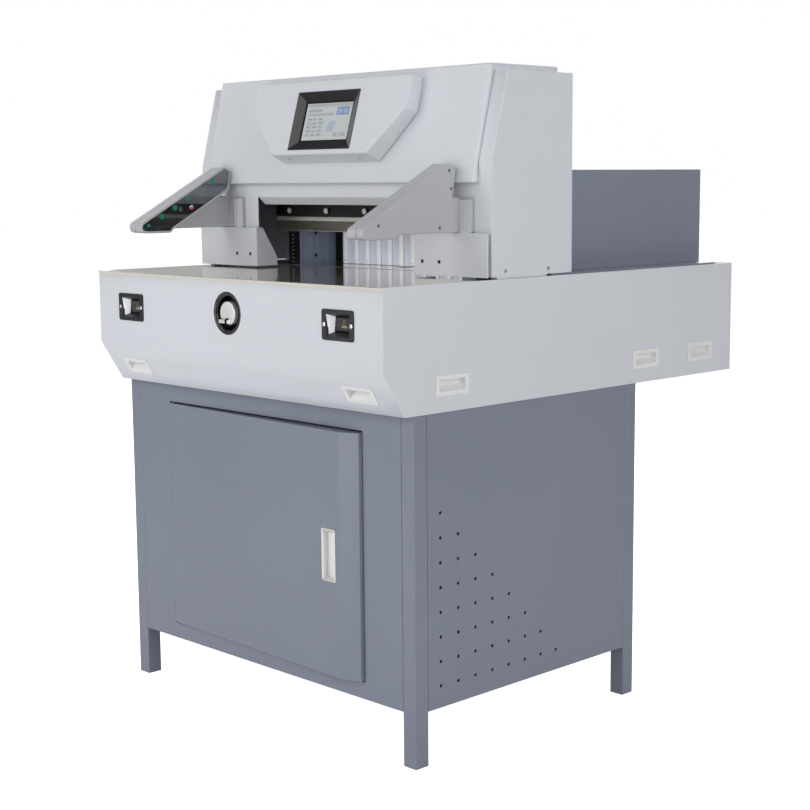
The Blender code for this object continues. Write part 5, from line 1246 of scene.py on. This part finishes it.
class CUTTER_OT_cutting_gear(CutterOperator, bpy.types.Operator):
    """Knife, carrier, clamp, frames, gauge and what lies inside"""

    bl_idname = "cutter.cutting_gear"
    bl_label = "Cutting gear"

    # The bright band's upper and lower edges, and the line along the cutting edge
    BAND = (1.0254, 1.0164)
    BAND_MARGIN = 0.001
    BAND_THICKNESS = 0.00018
    EDGE_RISE = 0.0011
    EDGE_HALF = 0.0005
    EDGE_THICKNESS = 0.00006
    TAIL_GAP = 0.0005
    TAIL_MARGIN = 0.0006
    TAIL_THICKNESS = 0.0002
    RIBS = 13
    RIB_PITCH = 0.0365
    RIB_HALF = 0.0051
    RIB_FOOT = 0.0012
    RIB_MARGIN = 0.0006
    RIB_THICKNESS = 0.0003
    RIB_SCREW_LEVEL = 0.008
    BOLTS = 5
    BOLT_PITCH = 0.123
    BOLT_LEVEL = 0.0135
    BOLT_LIFT = 0.00005
    DASHES = 8
    DASH_PITCH = 0.0085
    FIRST_DASH = 0.008
    DASH_SHARE = 0.39
    STRIP_LEVEL = 0.039
    STRIP_HALF = 0.037
    STRIP_MARGIN = 0.001
    STRIP_THICKNESS = 0.00010

    def make(self):
        blade = steel("knife_ground", (0.40, 0.375, 0.32), 0.28, (0.5, 8.0, 8.0), 0.08, 0.06, 0.02, 0.70)
        skin("knife", blade, "brushed_steel", 0.0003, 0.0003)
        for name in ("knife_carrier", "clamp_beam", "cross_beam", "machine_base", "drive_motor"):
            skin(name, black_enamel(), "black_casting", 0.0008, 0.0015)
        # The frames' blue carries strong vertical streaks in its tone: painted highlights
        painted_streak_blue = steel("frame_blued", (0.215, 0.250, 0.345), 0.22, (1.0, 3.5, 0.2), 0.20, 1.0, 0.02, 0.35)
        for hand, _ in HANDS:
            skin(f"{hand}_side_frame", painted_streak_blue, "blued_steel", 0.0006, 0.0008)
        # The gauge's panels glow a little: painted light in the shade under the tower
        painted_light = painted_glow((0.78, 0.81, 0.93), 0.15)
        silver = plastic("gauge_panel_pale", (0.80, 0.83, 0.93), 0.40, 900.0, 0.05, 0.04, 0.10, **painted_light)
        skin("back_gauge", silver, "aluminium", 0.0005, 0.0005)
        self.knife_band()
        self.gauge_details()
        self.bolts()
        self.left_scale()

    def knife_band(self):
        """The bright ground band above the bevel, the cutting edge, and a dark cover on the free end."""
        along = (1.0, 40.0, 40.0)
        bright = steel("knife_band_bright", (0.90, 0.90, 0.88), 0.22, along, 0.08, 0.06, 0.02, 0.30)
        low, high = node_box("knife")
        top, bottom = self.BAND
        middle = (low.x + high.x) / 2
        half = (high.x - low.x) / 2 - self.BAND_MARGIN
        where = facing(FRONT, Vector((middle, low.y - TRIM_LIFT, (top + bottom) / 2)))
        slope = Vector((0, high.y - low.y, low.z - bottom))
        ahead = Vector((0, slope.z, -slope.y)).normalized()
        lift = ahead * TRIM_LIFT
        at = Vector((middle, high.y, low.z)) - slope.normalized() * self.EDGE_RISE + lift
        band = (oblong(half, (top - bottom) / 2), where, self.BAND_THICKNESS)
        edge = (oblong(half, self.EDGE_HALF), facing(ahead, at), self.EDGE_THICKNESS)
        plates("knife_bright_band", [band, edge], bright, "brushed_steel", "knife_bar")
        left = low.x + self.BAND_MARGIN
        right = node_box("knife_carrier")[0].x - self.TAIL_GAP
        at = Vector(((left + right) / 2, low.y - TRIM_LIFT, (top + high.z) / 2))
        shape = oblong((right - left) / 2, (high.z - top) / 2 - self.TAIL_MARGIN)
        tail = (shape, facing(FRONT, at), self.TAIL_THICKNESS)
        plates("knife_tail_cover", [tail], black_enamel(), "black_casting", "knife_bar")

    def gauge_details(self):
        """White ribs' faces with a painted glow, and a small screw at the foot of each."""
        # The ribs' glow is painted light in the shade under the tower
        painted_light = painted_glow((0.95, 0.96, 0.98), 0.26)
        white = plastic("gauge_rib_white", (0.95, 0.955, 0.97), 0.36, 1200.0, 0.04, 0.03, 0.10, **painted_light)
        low, high = node_box("back_gauge")
        bottom = TABLE_TOP + self.RIB_FOOT
        face = oblong(self.RIB_HALF, (high.z - bottom) / 2 - self.RIB_MARGIN)
        strips = []
        places = []
        for i in range(self.RIBS):
            x = (i - self.RIBS // 2) * self.RIB_PITCH
            where = facing(FRONT, Vector((x, low.y - TRIM_LIFT, (high.z + bottom) / 2)))
            strips.append((face, where, self.RIB_THICKNESS))
            at = Vector((x, low.y - self.RIB_THICKNESS, bottom + self.RIB_SCREW_LEVEL))
            places.append((at, FRONT))
        plates("gauge_rib_faces", strips, white, "aluminium", "gauge")
        screws("gauge_screws", places, chrome(), body="gauge", scale=0.62)

    def bolts(self):
        """Satin socket bolts over the carrier's heads."""
        low, _ = node_box("knife_carrier")
        xs = [(i - self.BOLTS // 2) * self.BOLT_PITCH for i in range(self.BOLTS)]
        y, z = low.y - self.BOLT_LIFT, low.z + self.BOLT_LEVEL
        places = [(Vector((x, y, z)), FRONT) for x in xs]
        values = {"Head radius": 0.0066, "Head height": 0.0022, "Socket width": 0.0036}
        satin = steel("bolt_satin", (0.93, 0.93, 0.92), 0.30, (6.0, 6.0, 6.0), 0.05, 0.04, 0.0, 0.35)
        tree = socket_screws()
        set_on_points("carrier_bolt_caps", tree, values, places, satin, "polished_steel", "knife_bar")

    def left_scale(self):
        """A black strip with a row of white dashes on the front of the left frame."""
        low, high = node_box("left_side_frame")
        width = high.x - low.x
        dark = plastic("scale_strip_dark", (0.020, 0.020, 0.024), 0.24, 800.0, 0.04)
        where = facing(FRONT, Vector((low.x + width / 2, low.y, TABLE_TOP + self.STRIP_LEVEL)))
        shape = oblong(width / 2 - self.STRIP_MARGIN, self.STRIP_HALF)
        strip = (shape, where, self.STRIP_THICKNESS)
        plates("left_strip", [strip], dark, "black_plastic")
        x, y = low.x + width * self.DASH_SHARE, low.y - self.STRIP_THICKNESS
        levels = [TABLE_TOP + self.FIRST_DASH + self.DASH_PITCH * i for i in range(self.DASHES)]
        places = [(Vector((x, y, level)), FRONT) for level in levels]
        white = plastic("scale_marks_white", (0.75, 0.76, 0.78), 0.4, 1200.0, 0.03)
        values = {"Size": (0.0052, 0.0018, 0.00010)}
        set_on_points("left_strip_dashes", dashes(), values, places, white, "white_plastic")


class CUTTER_OT_screws(CutterOperator, bpy.types.Operator):
    """Panel, bracket and guard screws"""

    bl_idname = "cutter.screws"
    bl_label = "Screws"

    # Screws in the tower's side panels as (behind its front, Z)
    TOWER_SCREWS = ((0.037, 0.930), (0.162, 0.930))
    GUARD_SCREW_X = 0.4145
    GUARD_FOOT_TOP = 0.9187
    GUARD_SCREWS = (-0.050, 0.115, 0.290, 0.455)
    POD_SCREW_X = 0.109
    # Across the body's rear panel as shares of its half width, and how far in from its edges
    BODY_REAR_SHARES = (-0.80, -0.27, 0.27, 0.80)
    BODY_REAR_MARGIN = 0.012
    # On the other rear panels as a share of the half width, and shares of the height
    REAR_SHARES = {
        "tower_rear_panel": (0.96, (0.15, 0.55, 0.92)),
        "cabinet_back_panel": (0.95, (0.06, 0.50, 0.94)),
    }
    BRACKET_HOLES = (0.2695, 0.316)
    BRACKET_LEVEL = 0.9457
    PLUG_RADIUS = 0.0037
    PLUG_SIDES = 24
    PLUG_DEPTH = 0.0006
    PLUG_THICKNESS = 0.0003
    FRAME_SCREW = (0.2525, -0.0833)
    FRAME_LEVELS = (0.9364, 0.9863)

    def make(self):
        plain = turned_steel("panel_screw_steel", (0.55, 0.56, 0.58), 0.30)
        tower_front = node_box("tower_right_panel")[0].y
        places = []
        for side, outward in ((-1, LEFT), (1, RIGHT)):
            for back, level in self.TOWER_SCREWS:
                places.append((Vector((side * HALF_WIDTH, tower_front + back, level)), outward))
        for side in (-1, 1):
            for y in self.GUARD_SCREWS:
                places.append((Vector((side * self.GUARD_SCREW_X, y, self.GUARD_FOOT_TOP)), UP))
        screws("panel_screws", places, plain)
        where = broad_face("display_pod", (0, -0.8, -0.6))
        out = where.to_3x3().col[2]
        places = [(where @ Vector((side * self.POD_SCREW_X, 0, 0)), out) for side in (-1, 1)]
        screws("pod_screws", places, plain, scale=0.85)
        screws("rear_panel_screws", self.rear_places(), plain)
        self.bracket_screws()

    def rear_places(self):
        low, high = node_box("body_rear_panel")
        levels = (low.z + self.BODY_REAR_MARGIN, high.z - self.BODY_REAR_MARGIN)
        shares = self.BODY_REAR_SHARES
        places = [(Vector((x * high.x, high.y, z)), REAR) for x in shares for z in levels]
        for name, (width_share, height_shares) in self.REAR_SHARES.items():
            low, high = node_box(name)
            for x in (-width_share * high.x, width_share * high.x):
                for height_share in height_shares:
                    places.append((Vector((x, high.y, low.z + (high.z - low.z) * height_share)), REAR))
        return places

    def bracket_screws(self):
        """Black plugs in the brackets' holes, and socket screws in the side frames."""
        face = node_box("right_table_bracket")[0].y + self.PLUG_DEPTH
        disc = many_sided(self.PLUG_RADIUS, self.PLUG_SIDES)
        plugs = []
        for side in (-1, 1):
            for x in self.BRACKET_HOLES:
                where = facing(FRONT, Vector((side * x, face, self.BRACKET_LEVEL)))
                plugs.append((disc, where, self.PLUG_THICKNESS))
        plates("bracket_plugs", plugs, black_screw(), "black_casting")
        x, y = self.FRAME_SCREW
        places = [(Vector((-x, y, z)), RIGHT) for z in self.FRAME_LEVELS]
        places += [(Vector((x, y, z)), LEFT) for z in self.FRAME_LEVELS]
        values = {"Head radius": 0.0042, "Head height": 0.0010, "Socket width": settings("screws").socket}
        set_on_points("frame_screws", socket_screws(), values, places, black_screw(), "black_casting")


class CUTTER_OT_door_details(CutterOperator, bpy.types.Operator):
    """Two faint pressed lines on the door"""

    bl_idname = "cutter.door_details"
    bl_label = "Door lines"

    # Pressed lines as (left, right, height), and their cross section as (across, rise)
    LINES = ((-0.12, 0.08, 0.487), (-0.09, 0.08, 0.296))
    FOOT = 0.00004
    SECTION = ((-0.0016, FOOT), (0.0, 0.0006), (0.0016, FOOT))
    TIP = 0.004

    def make(self):
        low, _ = node_box("cabinet_door")
        where = broad_face("cabinet_door", FRONT)
        points = []
        faces = []
        for left, right, z in self.LINES:
            a, b = (where.inverted() @ Vector((x, low.y, z)) for x in (left, right))
            i = len(points)
            points += [where @ Vector((u, a.y + v, rise)) for u in (a.x, b.x) for v, rise in self.SECTION]
            points += [where @ Vector((u, a.y, self.FOOT)) for u in (a.x - self.TIP, b.x + self.TIP)]
            faces += [(i, i + 3, i + 4, i + 1), (i + 1, i + 4, i + 5, i + 2), (i, i + 2, i + 5, i + 3)]
            faces += [(i + 6, i, i + 1), (i + 6, i + 1, i + 2), (i + 6, i + 2, i)]
            faces += [(i + 7, i + 4, i + 3), (i + 7, i + 5, i + 4), (i + 7, i + 3, i + 5)]
        mesh_object("door_pressed_lines", points, faces, paint("slate"), "slate_paint", "door")


class CUTTER_OT_inlet(CutterOperator, bpy.types.Operator):
    """Mains inlet with its pins, and the rocker switch"""

    bl_idname = "cutter.inlet"
    bl_label = "Mains inlet"

    # Pins from the inlet's middle as (X, Z)
    PINS = ((0.0, -0.0100), (-0.0068, -0.0160), (0.0068, -0.0160))
    PIN_HALVES = (0.0011, 0.0020)
    PIN_DEPTH = 0.0180
    PIN_LENGTH = 0.0125
    SCREW_X = 0.0218

    def make(self):
        black = plastic("inlet_black", (0.020, 0.020, 0.022), 0.40, 1300.0, 0.08, 0.1)
        rocker = plastic("rocker_black", (0.016, 0.016, 0.017), 0.28, 1300.0, 0.06, 0.1)
        skin("power_inlet", black, "black_plastic", 0.0006, 0.0008)
        skin("main_switch", rocker, "black_plastic", 0.0005, 0.0006)
        low, high = node_box("power_inlet")
        middle = Vector(((low.x + high.x) / 2, high.y, (low.z + high.z) / 2))
        places = [facing(REAR, middle + Vector((x, -self.PIN_DEPTH, z))) for x, z in self.PINS]
        pins = [(oblong(*self.PIN_HALVES), where, self.PIN_LENGTH) for where in places]
        brass = steel("inlet_pins", (0.70, 0.62, 0.42), 0.28, (20.0, 20.0, 20.0), 0.08, 0.05, 0.02)
        plates("inlet_pins", pins, brass, "brushed_steel")
        places = [(middle + Vector((x, 0, 0)), REAR) for x in (-self.SCREW_X, self.SCREW_X)]
        screws("inlet_screws", places, black_screw(), "black_casting", scale=0.55)


class CUTTER_OT_studio(CutterOperator, bpy.types.Operator):
    """Plain pale floor, soft studio light and the camera"""

    bl_idname = "cutter.studio"
    bl_label = "Studio"

    # Softboxes as size, place and height of the point that they aim at
    SOFTBOXES = {
        "key": (2.6, (-1.4, -3.6, 2.8), 0.8),
        "low": (1.6, (-0.4, -2.7, 0.75), 0.75),
        "fill": (2.4, (3.9, -0.6, 2.0), 0.8),
        "front": (2.2, (2.1, -3.2, 1.9), 0.9),
        "rear": (2.6, (-1.0, 4.2, 2.3), 0.8),
        "left": (2.2, (-3.9, 0.7, 2.0), 0.8),
        "top": (2.6, (0.2, -0.2, 4.2), 0.9),
    }
    SOFTBOX_HEIGHT_SHARE = 0.8
    FLOOR_REACH = 30.0
    # Over which rise of the view the light low in the sky fades
    HORIZON_BAND = (0.14, 0.36)
    CAMERA_PLACE = (2.5150652, -2.4957723, 1.1065683)
    AZIMUTH = 0.7993902
    ELEVATION = 0.1401812
    ROLL = -0.0081835

    def make(self):
        sizes = settings("studio")
        self.floor(sizes)
        for name in self.SOFTBOXES:
            self.softbox(name, getattr(sizes, name))
        self.world(sizes)
        self.camera(sizes)

    def floor(self, sizes):
        mesh = bpy.data.meshes.new("studio_floor")
        corners = oblong(self.FLOOR_REACH, self.FLOOR_REACH)
        mesh.from_pydata([(x, y, 0) for x, y in corners], [], [(0, 1, 2, 3)])
        made = new_object("studio_floor", mesh)
        pale = plastic("studio_floor_pale", tuple(sizes.floor), 0.75, 60.0, 0.01, 0.01, 0.02)
        graph = Graph(pale.node_tree)
        shader = pale.node_tree.nodes["Principled BSDF"].inputs
        seen = graph.node("ShaderNodeLightPath", take="Is Camera Ray")
        graph.feed(shader["Emission Strength"], graph.times(seen, sizes.floor_glow))
        shader["Emission Color"].default_value = (1.0, 1.0, 1.0, 1.0)
        made.data.materials.append(pale)

    def softbox(self, name, power):
        size, place, aim = self.SOFTBOXES[name]
        data = bpy.data.lights.new(f"{name}_softbox", "AREA")
        data.energy = power
        data.shape = "RECTANGLE"
        data.size = size
        data.size_y = size * self.SOFTBOX_HEIGHT_SHARE
        made = new_object(f"{name}_softbox", data)
        made.location = place
        made.rotation_euler = (Vector((0, 0, aim)) - Vector(place)).to_track_quat("-Z", "Y").to_euler()

    def world(self, sizes):
        """Even light, stronger low in the sky, and seen as plain white behind the object."""
        world = bpy.data.worlds.new("studio_sky")
        world.use_nodes = True
        graph = Graph(world.node_tree)
        lit = world.node_tree.nodes["Background"].inputs
        lit["Color"].default_value = (1.0, 1.0, 1.0, 1.0)
        seen = graph.node("ShaderNodeLightPath", take="Is Camera Ray")
        way = graph.node("ShaderNodeTexCoord", take="Generated")
        rise = graph.node("ShaderNodeSeparateXYZ", {"Vector": way}, "Z")
        low, high = self.HORIZON_BAND
        levels = {"Value": rise, "From Min": low, "From Max": high, "To Min": sizes.horizon, "To Max": 0.0}
        band = graph.node("ShaderNodeMapRange", levels, "Result", interpolation_type="SMOOTHSTEP")
        even = graph.times(graph.plus(band, sizes.world), graph.minus(1.0, seen))
        graph.feed(lit["Strength"], graph.plus(even, seen))
        bpy.context.scene.world = world
        bpy.context.scene.view_settings.view_transform = "Standard"

    def camera(self, sizes):
        facts = bpy.data.cameras.new("camera")
        facts.sensor_fit = "HORIZONTAL"
        facts.sensor_width = 36.0
        facts.lens = sizes.lens
        facts.clip_end = 100.0
        made = new_object("camera", facts)
        turn = Matrix.Rotation(self.AZIMUTH, 4, "Z") @ Matrix.Rotation(math.pi / 2 - self.ELEVATION, 4, "X")
        roll = Matrix.Rotation(self.ROLL, 4, "Z")
        made.matrix_world = Matrix.Translation(self.CAMERA_PLACE) @ turn @ roll
        bpy.context.scene.camera = made


OPERATORS = tuple(CutterOperator.__subclasses__())


class CUTTER_PT_panel(bpy.types.Panel):
    """Pieces and settings of the paper cutter"""

    bl_idname = "CUTTER_PT_panel"
    bl_label = "Paper cutter"
    bl_space_type = "VIEW_3D"
    bl_region_type = "UI"
    bl_category = "Paper cutter"

    def draw(self, context):
        for operator in OPERATORS:
            self.layout.operator(operator.bl_idname)
        for name, group in GROUPS.items():
            box = self.layout.box()
            for field in group.__annotations__:
                box.prop(getattr(context.scene, name), field)


def register():
    for name, group in GROUPS.items():
        bpy.utils.register_class(group)
        setattr(bpy.types.Scene, name, PointerProperty(type=group))
    for operator in OPERATORS:
        bpy.utils.register_class(operator)
    bpy.utils.register_class(CUTTER_PT_panel)


def unregister():
    bpy.utils.unregister_class(CUTTER_PT_panel)
    for operator in reversed(OPERATORS):
        bpy.utils.unregister_class(operator)
    for name, group in reversed(list(GROUPS.items())):
        delattr(bpy.types.Scene, name)
        bpy.utils.unregister_class(group)


def main():
    register()
    for operator in OPERATORS:
        area, action = operator.bl_idname.split(".")
        getattr(getattr(bpy.ops, area), action)()
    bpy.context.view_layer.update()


if __name__ == "__main__":
    main()
